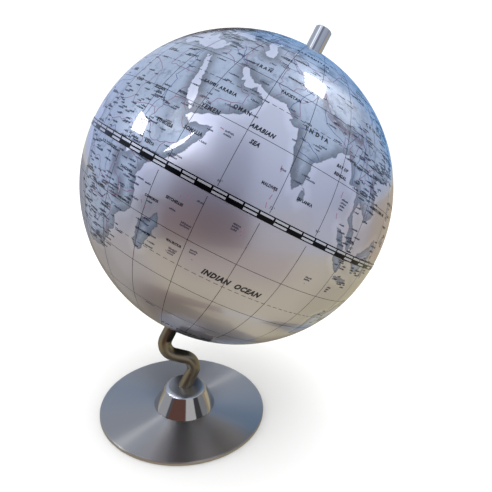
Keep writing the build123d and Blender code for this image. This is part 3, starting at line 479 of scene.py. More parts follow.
def chain_distance(lon, lat, chain):
    """Degrees from every point to the nearest leg of a chain, with longitude shrunk by the cosine of latitude."""
    nearest = np.full(lon.shape, 1e6)
    shrink = np.cos(np.radians(np.clip(lat, -86, 86)))
    for start, end in zip(chain[:-1], chain[1:]):
        leg_x = (end[0] - start[0]) * shrink
        leg_y = end[1] - start[1]
        away_x = (lon - start[0]) * shrink
        away_y = lat - start[1]
        share = np.clip((away_x * leg_x + away_y * leg_y) / (leg_x**2 + leg_y**2 + 1e-9), 0, 1)
        nearest = np.minimum(nearest, (away_x - share * leg_x) ** 2 + (away_y - share * leg_y) ** 2)
    return np.sqrt(nearest)


def outline_distance(lon, lat, outline):
    """Signed degrees to a closed outline, above 0 inside it, by the even-odd rule."""
    ring = np.vstack([outline, outline[:1]])
    inside = np.zeros(lon.shape, bool)
    for start, end in zip(ring[:-1], ring[1:]):
        crosses = (start[1] > lat) != (end[1] > lat)
        meets = start[0] + (lat - start[1]) * (end[0] - start[0]) / (end[1] - start[1] + 1e-12)
        inside ^= crosses & (lon < meets)
    return np.where(inside, 1, -1) * chain_distance(lon, lat, ring)


def near_outline(lon, lat, outline, margin=8):
    """Signed distance worked out only for points near the outline, and -margin for the rest."""
    low = outline.min(0) - margin / np.cos(np.radians(min(np.abs(outline[:, 1]).max() + margin, 80)))
    high = outline.max(0) + margin / np.cos(np.radians(min(np.abs(outline[:, 1]).max() + margin, 80)))
    close = (lon > low[0]) & (lon < high[0]) & (lat > outline[:, 1].min() - margin) & (lat < outline[:, 1].max() + margin)
    result = np.full(lon.shape, -float(margin))
    result[close] = np.maximum(outline_distance(lon[close], lat[close], outline), -margin)
    return result


def land_distance(lon, lat):
    """Signed degrees to the coast: the largest over the lands, cut by the lakes and inland seas."""
    lon = (lon + 180) % 360 - 180
    result = np.full(lon.shape, -8.0)
    for text in LANDS.values():
        outline = numbers(text)
        for turn in (-360, 0, 360):
            result = np.maximum(result, near_outline(lon + turn, lat, outline))
    for text in WATERS.values():
        result = np.minimum(result, -near_outline(lon, lat, numbers(text)))
    return result


def relief(lon, lat):
    """Nearness to a mountain chain: share x exp(-(distance / width)^2), the largest over the chains; -1 on ice."""
    lon = (lon + 180) % 360 - 180
    result = np.zeros(lon.shape)
    for text, share, width in ((RANGES, 0.42, 2.6), (HIGH_RANGES, 1.0, 2.0)):
        for chain in lines_of(text):
            result = np.maximum(result, share * np.exp(-((chain_distance(lon, lat, chain) / width) ** 2)))
    greenland = near_outline(lon, lat, numbers(LANDS["greenland"])) > -1
    return np.where((lat < -60) | greenland, -1, result)


# ---------------------------------------------------------------------------
# Meshes
# ---------------------------------------------------------------------------


def new_piece(name, points, faces, material, body=None, replaced=(), corner_normals=None):
    """Puts arrays into a mesh object at the origin, smooth, and ties it to its CAD body."""
    mesh = bpy.data.meshes.new(name)
    mesh.from_pydata(np.asarray(points).tolist(), [], [tuple(face) for face in np.asarray(faces).tolist()])
    mesh.polygons.foreach_set("use_smooth", np.ones(len(mesh.polygons), bool))
    mesh.materials.append(material)
    if corner_normals is not None:
        mesh.normals_split_custom_set(np.asarray(corner_normals).reshape(-1, 3).tolist())
    piece = bpy.data.objects.new(name, mesh)
    bpy.context.scene.collection.objects.link(piece)
    if body:
        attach(piece, body)
    if replaced:
        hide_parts(*replaced)
    return piece


def grid_faces(rows, columns, close_rows):
    """Quads of a grid that closes round its columns, and round its rows too where asked."""
    row = np.arange(rows if close_rows else rows - 1)[:, None]
    column = np.arange(columns)[None, :]
    next_row = (row + 1) % rows
    next_column = (column + 1) % columns
    corners = (
        row * columns + column, row * columns + next_column,
        next_row * columns + next_column, next_row * columns + column,
    )
    return np.stack([np.broadcast_to(c, (row.size, columns)).ravel() for c in corners], axis=1)


def keep_attribute(piece, name, values):
    """Stores one number on every vertex for the material to read."""
    layer = piece.data.attributes.new(name, "FLOAT", "POINT")
    layer.data.foreach_set("value", np.asarray(values, np.float32))


def sampled(chain, step=1.2):
    """A chain of map points cut into short legs, step degrees long."""
    pieces = []
    for start, end in zip(chain[:-1], chain[1:]):
        shrink = math.cos(math.radians(min(abs(start[1] + end[1]) / 2, 85)))
        count = max(1, int(math.hypot((end[0] - start[0]) * shrink, end[1] - start[1]) / step))
        share = np.arange(count)[:, None] / count
        pieces.append(start + (end - start) * share)
    pieces.append(chain[-1:])
    return np.vstack(pieces)


def wandering(chain, amount, seed):
    """A sampled chain that wanders sideways by smooth noise, so that it isn't ruled straight; its ends stay."""
    random = np.random.default_rng(seed)
    path = sampled(chain, 0.6)
    along = np.linspace(0, 1, len(path))
    knots = max(4, len(path) // 2)
    fade = np.minimum(1, np.minimum(along, 1 - along) * len(path) / 3)
    for axis in (0, 1):
        noise = np.interp(along, np.linspace(0, 1, knots), random.normal(0, amount, knots))
        path[:, axis] += noise * fade
    return path


def ribbon_arrays(path, width, radius):
    """A flat ribbon on the ball: each path point is moved half a width to either side along normal x direction."""
    middle = printed(path[:, 0], path[:, 1], radius)
    normal = (middle - CENTRE) / np.linalg.norm(middle - CENTRE, axis=1)[:, None]
    ahead = np.gradient(middle, axis=0)
    across = np.cross(normal, ahead)
    across /= np.maximum(np.linalg.norm(across, axis=1), 1e-12)[:, None]
    left = middle + across * width / 2
    right = middle - across * width / 2
    points = np.stack([right, left], axis=1).reshape(-1, 3)
    start = np.arange(len(path) - 1) * 2
    faces = np.stack([start, start + 2, start + 3, start + 1], axis=1)
    return points, faces


def split_at_equator(paths):
    """Cuts each path where it changes sheet, because the two sheets are printed with different stretch."""
    result = []
    for path in paths:
        side = path[:, 1] > 0
        cuts = np.flatnonzero(side[1:] != side[:-1]) + 1
        result += [part for part in np.split(path, cuts) if len(part) > 1]
    return result


def ribbons(name, paths, width, radius, material, body="globe"):
    """Many ribbons in one mesh, with normals that point straight out of the ball."""
    all_points = []
    all_faces = []
    count = 0
    for path in split_at_equator(paths):
        points, faces = ribbon_arrays(path, width, radius)
        all_points.append(points)
        all_faces.append(faces + count)
        count += len(points)
    return printed_piece(name, np.vstack(all_points), np.vstack(all_faces), material, body)


def printed_piece(name, points, faces, material, body="globe"):
    """Ink on the ball: a mesh whose corner normals all run from the ball's centre."""
    normals = points - CENTRE
    normals /= np.linalg.norm(normals, axis=1)[:, None]
    return new_piece(name, points, faces, material, body, (), normals[faces.ravel()])


def letter_shapes(text, gap, bold, slant):
    """The flat outline of a word at size 1, as triangles: points in the plane, and their corners."""
    curve = bpy.data.curves.new("word", "FONT")
    curve.body = text
    curve.align_x = "CENTER"
    curve.space_character = gap
    curve.offset = bold
    curve.shear = slant
    curve.resolution_u = 2
    carrier = bpy.data.objects.new("word", curve)
    bpy.context.scene.collection.objects.link(carrier)
    bpy.context.view_layer.update()
    flat = carrier.evaluated_get(bpy.context.evaluated_depsgraph_get()).to_mesh()
    flat.calc_loop_triangles()
    points = np.empty(len(flat.vertices) * 3)
    flat.vertices.foreach_get("co", points)
    corners = np.empty(len(flat.loop_triangles) * 3, np.int32)
    flat.loop_triangles.foreach_get("vertices", corners)
    points = points.reshape(-1, 3)[:, :2].copy()
    corners = corners.reshape(-1, 3).copy()
    carrier.evaluated_get(bpy.context.evaluated_depsgraph_get()).to_mesh_clear()
    bpy.data.objects.remove(carrier)
    bpy.data.curves.remove(curve)
    return points, corners


CAP_HEIGHT = 0.729
LETTER_WIDTH = 0.87


def names(name, rows, radius, material, bold, slant):
    """Words wrapped on the ball: a letter's x runs along the parallel and its y along the meridian."""
    all_points = []
    all_faces = []
    count = 0
    for text, lon, lat, cap, gap in rows:
        flat, corners = letter_shapes(text, gap / LETTER_WIDTH, bold, slant)
        flat = flat * (LETTER_WIDTH, 1) * cap * MM / CAP_HEIGHT
        flat[:, 1] -= cap * MM / 2
        base_lon, base_lat = (float(v) for v in ball_degrees(lon, lat, lat > 0))
        rise = base_lat + np.degrees(flat[:, 1] / radius)
        turn = base_lon + np.degrees(flat[:, 0] / (radius * math.cos(math.radians(base_lat))))
        points = on_ball(turn, rise, np.full(len(flat), radius))
        facing = np.cross(points[corners[:, 1]] - points[corners[:, 0]], points[corners[:, 2]] - points[corners[:, 0]])
        inward = np.einsum("ij,ij->i", facing, points[corners[:, 0]] - CENTRE) < 0
        corners[inward] = corners[inward][:, ::-1]
        all_points.append(points)
        all_faces.append(corners + count)
        count += len(points)
    return printed_piece(name, np.vstack(all_points), np.vstack(all_faces), material)


# Parts of the map where the marks stand close together: west, east, south, north
CROWDED = ((8, 40, -34, 14), (95, 127, -9, 26), (-9, 44, 36, 62), (-98, -70, 26, 48), (108, 143, 24, 44))


def scattered_towns(count, seed):
    """Random places on land or just off a coast, a third of them in the crowded parts."""
    random = np.random.default_rng(seed)
    lon = random.uniform(-180, 180, count * 4)
    lat = np.degrees(np.arcsin(random.uniform(-0.86, 0.95, count * 4)))
    crowd = np.array(CROWDED)[random.integers(0, len(CROWDED), count * 2)]
    lon = np.concatenate([lon, random.uniform(crowd[:, 0], crowd[:, 1])])
    lat = np.concatenate([lat, random.uniform(crowd[:, 2], crowd[:, 3])])
    on_land = land_distance(lon, lat) > -0.9
    order = random.permutation(np.flatnonzero(on_land))[:count]
    return np.stack([lon[order], lat[order]], axis=1)


def marks(name, places, letters, radius, material, seed=7, dotted=True):
    """Words too small to read: a six-sided dot, then short upright and level strokes in the place of letters."""
    random = np.random.default_rng(seed)
    count = len(places)
    angle = np.radians(np.arange(6) * 60)
    dot = np.stack([np.cos(angle), np.sin(angle)], axis=1) * (0.36 if dotted else 0.05)
    dot_points = dot[None] + np.zeros((count, 1, 2))
    place = np.repeat(np.arange(count), letters)
    order = np.concatenate([np.arange(n) for n in letters])
    tall = np.where(random.random(len(place)) < 0.3, 1.15, 0.85)
    left = 0.8 + order * 0.62
    wide = random.uniform(0.28, 0.44, len(place))
    foot = -0.4
    upright = [(left, foot), (left + wide, foot), (left + wide, tall + foot), (left, tall + foot)]
    level = np.where(random.random(len(place)) < 0.5, 0.0, tall - 0.24) + foot
    bar = [(left, level), (left + 0.5, level), (left + 0.5, level + 0.3), (left, level + 0.3)]
    boxes = [np.stack([np.stack([x, y + 0 * x], axis=1) for x, y in shape], axis=1) for shape in (upright, bar)]
    flat = np.vstack([dot_points.reshape(-1, 2)] + [box.reshape(-1, 2) for box in boxes]) * MM
    owner = np.concatenate([np.repeat(np.arange(count), 6), np.repeat(place, 4), np.repeat(place, 4)])
    lon, lat = places[:, 0], places[:, 1]
    north_lon, north_lat = ball_degrees(lon, lat, True)
    base_lon = np.where(lat > 0, north_lon, lon)[owner]
    base_lat = np.where(lat > 0, north_lat, lat)[owner]
    points = on_ball(
        base_lon + np.degrees(flat[:, 0] / (radius * np.cos(np.radians(base_lat)))),
        base_lat + np.degrees(flat[:, 1] / radius), np.full(len(flat), radius),
    )
    first = np.arange(count) * 6
    halves = [np.stack([first + k for k in row], axis=1) for row in ((0, 1, 2, 3), (0, 3, 4, 5))]
    strokes = count * 6 + np.arange(len(place) * 2)[:, None] * 4 + np.arange(4)
    return printed_piece(name, points, np.vstack(halves + [strokes]), material)


def note_rows():
    """The unreadable notes beside island groups, row under row."""
    rows = []
    for lon, lat, lines, letters in ISLAND_NOTES:
        rows += [(lon - 0.35 * letters * 0.62 / 2.18, lat - 0.75 * row, letters - row) for row in range(lines)]
    return np.array(rows)


def map_sheet(node, north, material, columns=600, rows=128, back_rows=6):
    """One printed half: a thin closed shell from the equator to the pole hole, outer face first, then its back."""
    sizes = settings("globe_map")
    low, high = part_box(node)
    hole = math.degrees(math.asin(6.25 / 125))
    edge = math.degrees(0.1 * MM / BALL_RADIUS)
    outer = np.linspace(edge, 90 - hole, rows)
    back = np.linspace(90 - hole, edge, back_rows)
    lat = np.concatenate([outer, back])
    reach = BALL_RADIUS - INK_ROOM - np.concatenate([np.zeros(rows), np.full(back_rows, sizes.sheet)])
    lon = np.arange(columns) * 360 / columns
    lon_grid, lat_grid = np.meshgrid(lon, lat)
    radius_grid = np.broadcast_to(reach[:, None], lat_grid.shape)
    sign = 1 if north else -1
    points = on_ball(lon_grid, sign * lat_grid, radius_grid).reshape(-1, 3)
    faces = grid_faces(len(lat), columns, close_rows=True)
    if not north:
        faces = faces[:, ::-1]
    piece = new_piece(node + "_print", points, faces, material, "globe", (node,))
    piece.data.set_sharp_from_angle(angle=math.radians(40))
    map_lon, map_lat = map_degrees(lon_grid, lat_grid, north)
    keep_attribute(piece, "land", land_distance(map_lon, sign * map_lat).ravel())
    keep_attribute(piece, "height", relief(map_lon, sign * map_lat).ravel())
    return piece


INK_ROOM = 0.06 * MM


def equator_tape(material, columns=480):
    """The tape round the equator: a thin closed ring whose UV counts scale boxes round it and runs -1 to 1 across it."""
    low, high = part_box("equator_tape")
    half = TAPE_WIDTH / 2
    inner = BALL_RADIUS + 0.02 * MM
    corner = [(inner, -half), (TAPE_RADIUS, -half), (TAPE_RADIUS, half), (inner, half)]
    turn = np.radians(np.arange(columns) * 360 / columns) + settings("globe_map").prime_meridian
    round_axis = np.cos(turn)[:, None] * OUT + np.sin(turn)[:, None] * SIDE
    points = np.vstack([CENTRE + r * round_axis + h * NORTH for r, h in corner])
    faces = grid_faces(4, columns, close_rows=True)
    piece = new_piece("equator_tape_print", points, faces, material, "globe", ("equator_tape",))
    piece.data.set_sharp_from_angle(angle=math.radians(40))
    layer = piece.data.uv_layers.new(name="Scale")
    column = np.broadcast_to(np.arange(columns), (4, columns)).ravel()
    across = np.array([-1, -1, 1, 1])
    row = np.repeat(np.arange(4), columns)
    start = column * 360 / columns / 4.5
    end = (column + 1) * 360 / columns / 4.5
    here = across[row]
    there = across[(row + 1) % 4]
    uv = np.stack([np.stack([start, here], 1), np.stack([end, here], 1), np.stack([end, there], 1), np.stack([start, there], 1)], 1)
    layer.data.foreach_set("uv", uv.astype(np.float32).ravel())
    return piece


TAPE_WIDTH = 5 * MM

# ---------------------------------------------------------------------------
# Materials
# ---------------------------------------------------------------------------


def add(tree, kind, inputs=None, **choices):
    """Adds a node, makes its choices, and links or sets its inputs by name or number."""
    node = tree.nodes.new(kind)
    for key, value in choices.items():
        setattr(node, key, value)
    for key, value in (inputs or {}).items():
        if isinstance(value, bpy.types.NodeSocket):
            tree.links.new(value, node.inputs[key])
        else:
            node.inputs[key].default_value = value
    return node


def new_material(name, base, metallic=0.0, roughness=0.5, **more):
    """A Principled material with its constants on the shader's own sockets."""
    material = bpy.data.materials.new(name)
    material.use_nodes = True
    tree = material.node_tree
    shader = tree.nodes["Principled BSDF"]
    shader.inputs["Base Color"].default_value = (*tuple(base)[:3], 1)
    shader.inputs["Metallic"].default_value = metallic
    shader.inputs["Roughness"].default_value = roughness
    for key, value in more.items():
        shader.inputs[key.replace("_", " ")].default_value = value
    return material, tree, shader


def math_node(tree, operation, first, second=0.0, third=0.0):
    """One sum on two or three numbers."""
    return add(tree, "ShaderNodeMath", {0: first, 1: second, 2: third}, operation=operation).outputs[0]


def step_up(tree, value, low, high):
    """0 below low, 1 above high, and smooth between."""
    inputs = {"Value": value, "From Min": low, "From Max": high}
    return add(tree, "ShaderNodeMapRange", inputs, interpolation_type="SMOOTHSTEP").outputs["Result"]


def mixed(tree, share, first, second):
    """Mixes two colours."""
    node = add(tree, "ShaderNodeMix", data_type="RGBA")
    for socket, value in ((0, share), (6, first), (7, second)):
        if isinstance(value, bpy.types.NodeSocket):
            tree.links.new(value, node.inputs[socket])
        elif socket == 0:
            node.inputs[socket].default_value = value
        else:
            node.inputs[socket].default_value = (*tuple(value)[:3], 1)
    return node.outputs[2]


def grain(tree, size, detail=3.0, roughness=0.5):
    """Noise whose lumps are about size metres across, on Object coordinates."""
    place = add(tree, "ShaderNodeTexCoord").outputs["Object"]
    inputs = {"Vector": place, "Scale": 1 / size, "Detail": detail, "Roughness": roughness}
    return add(tree, "ShaderNodeTexNoise", inputs).outputs["Fac"]


def varnished_print():
    """Offset print in pearly metallic inks on paper, varnished: soft silver depth under a sharp clear gloss."""
    sizes = settings("globe_map")
    material, tree, shader = new_material(
        "varnished silver ink print", sizes.sea, 0.9, 0.34, Coat_Weight=sizes.varnish, Coat_Roughness=0.02,
        Coat_IOR=1.75,
    )
    coast = add(tree, "ShaderNodeAttribute", attribute_name="land").outputs["Fac"]
    height = add(tree, "ShaderNodeAttribute", attribute_name="height").outputs["Fac"]
    wiggle = math_node(tree, "SUBTRACT", grain(tree, 5 * MM, 4, 0.6), 0.5)
    coast = math_node(tree, "MULTIPLY_ADD", wiggle, 1.9, coast)
    land = step_up(tree, coast, -0.03, 0.03)
    shelf = step_up(tree, coast, -2.8, -0.6)
    sea = mixed(tree, math_node(tree, "MULTIPLY", shelf, 0.6), sizes.sea, linear("#D8D7E2"))
    cloud = step_up(tree, grain(tree, 26 * MM, 4, 0.55), 0.42, 0.62)
    fleck = step_up(tree, grain(tree, 4.2 * MM, 5, 0.65), 0.50, 0.66)
    upland = math_node(tree, "MULTIPLY", fleck, math_node(tree, "MULTIPLY_ADD", cloud, 0.55, 0.25))
    ground = mixed(tree, upland, sizes.plain, sizes.upland)
    near_shore = math_node(tree, "MULTIPLY", step_up(tree, coast, 3.2, 0.2), 0.64)
    ground = mixed(tree, near_shore, ground, sizes.shore)
    ridges = math_node(tree, "MULTIPLY", step_up(tree, grain(tree, 3.4 * MM, 5, 0.7), 0.3, 0.56), height)
    ground = mixed(tree, math_node(tree, "MULTIPLY", ridges, 0.85), ground, sizes.mountain)
    ground = mixed(tree, step_up(tree, height, -0.3, -0.8), ground, sizes.ice)
    face = mixed(tree, land, sea, ground)
    from_coast = math_node(tree, "ABSOLUTE", coast)
    line = step_up(tree, from_coast, sizes.coast_line / 2 + 0.06, sizes.coast_line / 2 - 0.06)
    face = mixed(tree, math_node(tree, "MULTIPLY", line, 0.5), face, linear("#1B2238"))
    tree.links.new(face, shader.inputs["Base Color"])
    silver = math_node(tree, "MULTIPLY_ADD", land, -0.62, 0.92)
    tree.links.new(silver, shader.inputs["Metallic"])
    return material


def ink(name, base):
    """One flat ink under the same varnish: matt colour with the varnish's sharp gloss over it."""
    gloss = settings("globe_map").varnish
    finish = {"Specular_IOR_Level": 0.0, "Coat_Weight": gloss, "Coat_Roughness": 0.02, "Coat_IOR": 1.5}
    return new_material(name, base, 0.0, 0.6, **finish)[0]


def scale_tape():
    """Gloss paper tape with a black scale: ticked boxes in the upper row, every second box filled in the lower."""
    sizes = settings("globe_map")
    material, tree, shader = new_material(
        "silver foil scale tape", linear("#C9CCD6"), 0.7, 0.26, Specular_IOR_Level=0.1, Coat_Weight=0.2, Coat_Roughness=0.06
    )
    uv = add(tree, "ShaderNodeUVMap", uv_map="Scale").outputs["UV"]
    place = add(tree, "ShaderNodeSeparateXYZ", {0: uv})
    count = math_node(tree, "ADD", place.outputs[0], 1 - 60.1 / 4.5 + 13)
    across = place.outputs[1]
    share = math_node(tree, "FRACT", count)
    from_tick = math_node(tree, "ABSOLUTE", math_node(tree, "SUBTRACT", share, 0.5))
    tick = step_up(tree, from_tick, 0.438, 0.446)
    edge = step_up(tree, math_node(tree, "ABSOLUTE", across), 0.71, 0.73)
    middle = step_up(tree, math_node(tree, "ABSOLUTE", across), 0.2, 0.18)
    pair = math_node(tree, "FRACT", math_node(tree, "MULTIPLY", count, 0.5))
    odd = step_up(tree, pair, 0.499, 0.501)
    below = step_up(tree, across, 0.01, -0.01)
    filled = math_node(tree, "MULTIPLY", odd, below)
    mask = tick
    for part in (edge, middle, filled):
        mask = math_node(tree, "MAXIMUM", mask, part)
    tree.links.new(mixed(tree, mask, linear("#B9BBC3"), linear("#040406")), shader.inputs["Base Color"])
    return material


def brushed_steel():
    """Stainless steel sheet, brushed round and round: the marks fan each light out across the plate."""
    sizes = settings("globe_stand")
    material, tree, shader = new_material("circular brushed stainless steel", sizes.base, 1.0, 0.36, Anisotropic=1.0)
    place = add(tree, "ShaderNodeTexCoord").outputs["Object"]
    flat = add(tree, "ShaderNodeSeparateXYZ", {0: place})
    along = add(tree, "ShaderNodeCombineXYZ", {0: flat.outputs[0], 1: flat.outputs[1]}).outputs[0]
    tree.links.new(add(tree, "ShaderNodeVectorMath", {0: along}, operation="NORMALIZE").outputs[0], shader.inputs["Tangent"])
    from_axis = add(tree, "ShaderNodeVectorMath", {0: add(tree, "ShaderNodeCombineXYZ", {0: flat.outputs[0], 1: flat.outputs[1]}).outputs[0]}, operation="LENGTH").outputs["Value"]
    rings = add(tree, "ShaderNodeTexNoise", {"W": from_axis, "Scale": 1 / sizes.brushing, "Detail": 4.0, "Roughness": 0.7}, noise_dimensions="1D").outputs["Fac"]
    rough = add(tree, "ShaderNodeMapRange", {"Value": rings, "From Min": 0.3, "From Max": 0.7, "To Min": 0.32, "To Max": 0.40}).outputs["Result"]
    tree.links.new(rough, shader.inputs["Roughness"])
    return material


def turned_hub():
    """Stainless steel turned on a lathe: the sloping side is polished to a mirror, the flat top keeps a fine grey turning."""
    material, tree, shader = new_material("turned and polished stainless steel", settings("globe_stand").steel, 1.0, 0.07)
    normal = add(tree, "ShaderNodeTexCoord").outputs["Normal"]
    up = add(tree, "ShaderNodeSeparateXYZ", {0: normal}).outputs[2]
    rough = add(tree, "ShaderNodeMapRange", {"Value": up, "From Min": 0.52, "From Max": 0.8, "To Min": 0.07, "To Max": 0.36})
    tree.links.new(rough.outputs["Result"], shader.inputs["Roughness"])
    return material


def make_steels():
    """The stand's materials by finish name, each for a real metal or plastic and how it was finished."""
    sizes = settings("globe_stand")
    steel = sizes.steel
    return {
        "brushed_steel": brushed_steel(),
        "turned_hub": turned_hub(),
        # Mirror polish: near black where the room is dark, white where a light stands
        "polished_steel": new_material("polished stainless steel", steel, 1.0, 0.045)[0],
        # Drawn bar, buffed: reflections hold their shape but their edges are soft
        "satin_steel": new_material("buffed stainless steel bar", linear("#8F8774"), 1.0, 0.33)[0],
        # Zinc plated screws: slightly blue and dull
        "zinc_steel": new_material("zinc plated steel", linear("#B9BEC6"), 1.0, 0.3)[0],
        # Turned nylon: waxy, lets a little light in
        "nylon": new_material("turned natural nylon", sizes.nylon, 0.0, 0.45)[0],
        # Moulded shell, seen only through the pole holes
        "shell_plastic": new_material("moulded polystyrene", linear("#C9CBD2"), 0.0, 0.5)[0],
        # Pressed wool felt: no shine
        "felt": new_material("pressed felt", sizes.felt, 0.0, 0.95)[0],
    }


# ---------------------------------------------------------------------------
# Operators
# ---------------------------------------------------------------------------


class GLOBE_OT_map(bpy.types.Operator):
    """Print the two map sheets: seas, lands and coastlines"""

    bl_idname = "desk_globe.map_sheets"
    bl_label = "Map sheets"

    def execute(self, context):
        material = varnished_print()
        map_sheet("north_map_sheet", True, material)
        map_sheet("south_map_sheet", False, material)
        return {"FINISHED"}


class GLOBE_OT_lines(bpy.types.Operator):
    """Print the grid, the tropics, the borders and the rivers"""

    bl_idname = "desk_globe.map_lines"
    bl_label = "Map lines"

    def execute(self, context):
        sizes = settings("globe_map")
        black = ink("black grid ink", sizes.black)
        reach = BALL_RADIUS - 0.02 * MM
        grid = []
        for lon in range(0, 360, sizes.grid_step):
            for low, high in ((-75, -1.5), (1.2, 75)):
                lat = np.arange(low, high, 0.9)
                grid.append(np.stack([lat * 0 + lon, lat], axis=1))
        lon = np.arange(0, 360.1, 1.5)
        for lat in range(-75, 76, sizes.grid_step):
            if lat:
                grid.append(np.stack([lon, lon * 0 + lat], axis=1))
        ribbons("grid_lines", grid, sizes.grid_line, reach, black)
        dashes = []
        for start in np.arange(0, 360, 2.4):
            lon = np.linspace(start, start + 1.5, 3)
            for lat in (23.44, -23.44, 66.56, -66.56):
                dashes.append(np.stack([lon, lon * 0 + lat], axis=1))
        ribbons("tropic_lines", dashes, sizes.grid_line, reach, black)
        borders = [wandering(chain, 0.22, 100 + i) for i, chain in enumerate(lines_of(BORDERS))]
        ribbons("border_lines", borders, sizes.border_line, reach - 0.01 * MM, ink("pink border ink", sizes.border))
        islets = [sampled(chain, 0.3) for chain in lines_of(ISLETS)]
        ribbons("islets", islets, sizes.border_line * 1.3, reach, ink("pink islet ink", linear("#8C5A78")))
        rivers = [wandering(chain, 0.26, 300 + i) for i, chain in enumerate(lines_of(RIVERS))]
        ribbons("river_lines", rivers, sizes.river_line, reach - 0.02 * MM, ink("blue river ink", sizes.river))
        return {"FINISHED"}


class GLOBE_OT_names(bpy.types.Operator):
    """Print the names of seas and countries, the degree figures and the town marks"""

    bl_idname = "desk_globe.map_names"
    bl_label = "Map names"

    def execute(self, context):
        sizes = settings("globe_map")
        black = ink("black letter ink", sizes.black)
        figures = [(f"{lon if lon <= 180 else 360 - lon}°", lon - 0.0, 2.4, 1.7, 1.0) for lon in range(0, 360, sizes.grid_step)]
        names("sea_names", SEA_NAMES, BALL_RADIUS, black, 0.055, 0.32)
        names("land_names", LAND_NAMES, BALL_RADIUS, black, 0.05, 0.0)
        names("degree_figures", figures, BALL_RADIUS, black, 0.006, 0.0)
        blue = ink("dark blue letter ink", linear("#101830"))
        reach = BALL_RADIUS - 0.01 * MM
        places = scattered_towns(sizes.towns, 7)
        letters = np.random.default_rng(3).integers(4, 11, len(places))
        marks("town_marks", places, letters, reach, blue)
        notes = note_rows()
        marks("island_notes", notes[:, :2], notes[:, 2].astype(int), reach, blue, 11, False)
        return {"FINISHED"}


class GLOBE_OT_tape(bpy.types.Operator):
    """Lay the scale tape round the equator"""

    bl_idname = "desk_globe.scale_tape"
    bl_label = "Scale tape"

    def execute(self, context):
        equator_tape(scale_tape())
        return {"FINISHED"}


FINISHES = {
    "base_plate": "brushed_steel", "base_pad": "felt", "hub": "turned_hub", "finial": "polished_steel",
    "crank_arm": "satin_steel", "axle": "satin_steel", "hub_screws": "zinc_steel", "hub_grub_screw": "zinc_steel",
    "spring_washer": "zinc_steel", "north_bush_clip": "zinc_steel", "south_bush_clip": "zinc_steel",
    "lower_thrust_washer": "nylon", "upper_thrust_washer": "nylon", "north_bush": "nylon", "south_bush": "nylon",
    "north_hemisphere": "shell_plastic", "south_hemisphere": "shell_plastic", "coupling_ring": "shell_plastic",
}


class GLOBE_OT_stand(bpy.types.Operator):
    """Finish the stand and the hidden parts of the ball"""

    bl_idname = "desk_globe.stand_finishes"
    bl_label = "Stand finishes"

    def execute(self, context):
        materials = make_steels()
        for node, finish in FINISHES.items():
            mesh = frame["nodes"][node].data
            mesh.materials.clear()
            mesh.materials.append(materials[finish])
        return {"FINISHED"}


def panel_light(name, place, target, wide, high, radiance, tint):
    """A rectangular soft light that faces its target; its power is radiance x pi x area."""
    lamp = bpy.data.lights.new(name, "AREA")
    lamp.shape = "RECTANGLE"
    lamp.size = wide
    lamp.size_y = high
    lamp.energy = radiance * math.pi * wide * high
    lamp.color = tint
    holder = bpy.data.objects.new(name, lamp)
    holder.location = place
    holder.rotation_euler = (Vector(target) - Vector(place)).to_track_quat("-Z", "Y").to_euler()
    holder.visible_camera = False
    bpy.context.scene.collection.objects.link(holder)
    return holder


def soft_patch(turn, rise, patch):
    """1 inside a patch of the room and 0 outside, with soft edges; angles in degrees, turn counted from +X."""
    turn_low, turn_high, rise_low, rise_high, blur = patch
    middle = (turn_low + turn_high) / 2
    away = np.abs((turn - middle + 180) % 360 - 180)
    across = np.clip(((turn_high - turn_low) / 2 - away) / blur + 0.5, 0, 1)
    low = np.clip((rise - rise_low) / blur + 0.5, 0, 1)
    high = np.clip((rise_high - rise) / blur + 0.5, 0, 1)
    share = across * low * high
    return (share * share * (3 - 2 * share))[..., None]


# What the gloss mirrors: turn from, turn to, rise from, rise to, blur, colour (radiance)
ROOM_HORIZON = (0.47, 0.54, 0.71)
ROOM_TOP = (0.70, 0.80, 0.98)
ROOM_LOWER = (0.645, 0.58, 0.41)
ROOM_PATCHES = (
    ((-150, -60, -50, -12, 20), (0.50, 0.42, 0.36)),
    ((-20, 80, -62, -16, 20), (0.50, 0.445, 0.30)),
    ((90, 150, -50, -8, 14), (0.38, 0.35, 0.31)),
    ((145, 185, -50, -20, 14), (0.52, 0.48, 0.44)),
    ((54, 110, -62, -12, 14), (0.24, 0.21, 0.16)),
    ((60, 180, -90, -52, 20), (0.17, 0.14, 0.085)),
    ((100, 165, -60, -46, 14), (0.19, 0.155, 0.12)),
    ((-152, -103, -26, 24, 14), (0.095, 0.075, 0.12)),
    ((-130, -98, 12, 46, 12), (0.29, 0.33, 0.45)),
    ((-150, -130, 30, 58, 12), (1.1, 1.2, 1.5)),
    ((-174, -156, 36, 64, 5), (1.9, 2.0, 2.2)),
    ((-12, 28, 0, 28, 8), (0.38, 0.46, 0.62)),
    ((-42, -28, -6, 8, 5), (0.38, 0.43, 0.57)),
    ((145, 185, -4, 24, 8), (0.60, 0.69, 0.95)),
    ((106, 160, 33, 50, 8), (0.58, 0.66, 0.82)),
    ((104, 150, 2, 28, 8), (0.48, 0.58, 0.84)),
    ((-8, 24, 34, 58, 8), (1.5, 1.6, 1.8)),
    ((28, 76, 0, 50, 10), (0.19, 0.38, 0.68)),
    ((72, 90, 0, 32, 8), (0.08, 0.065, 0.05)),
)
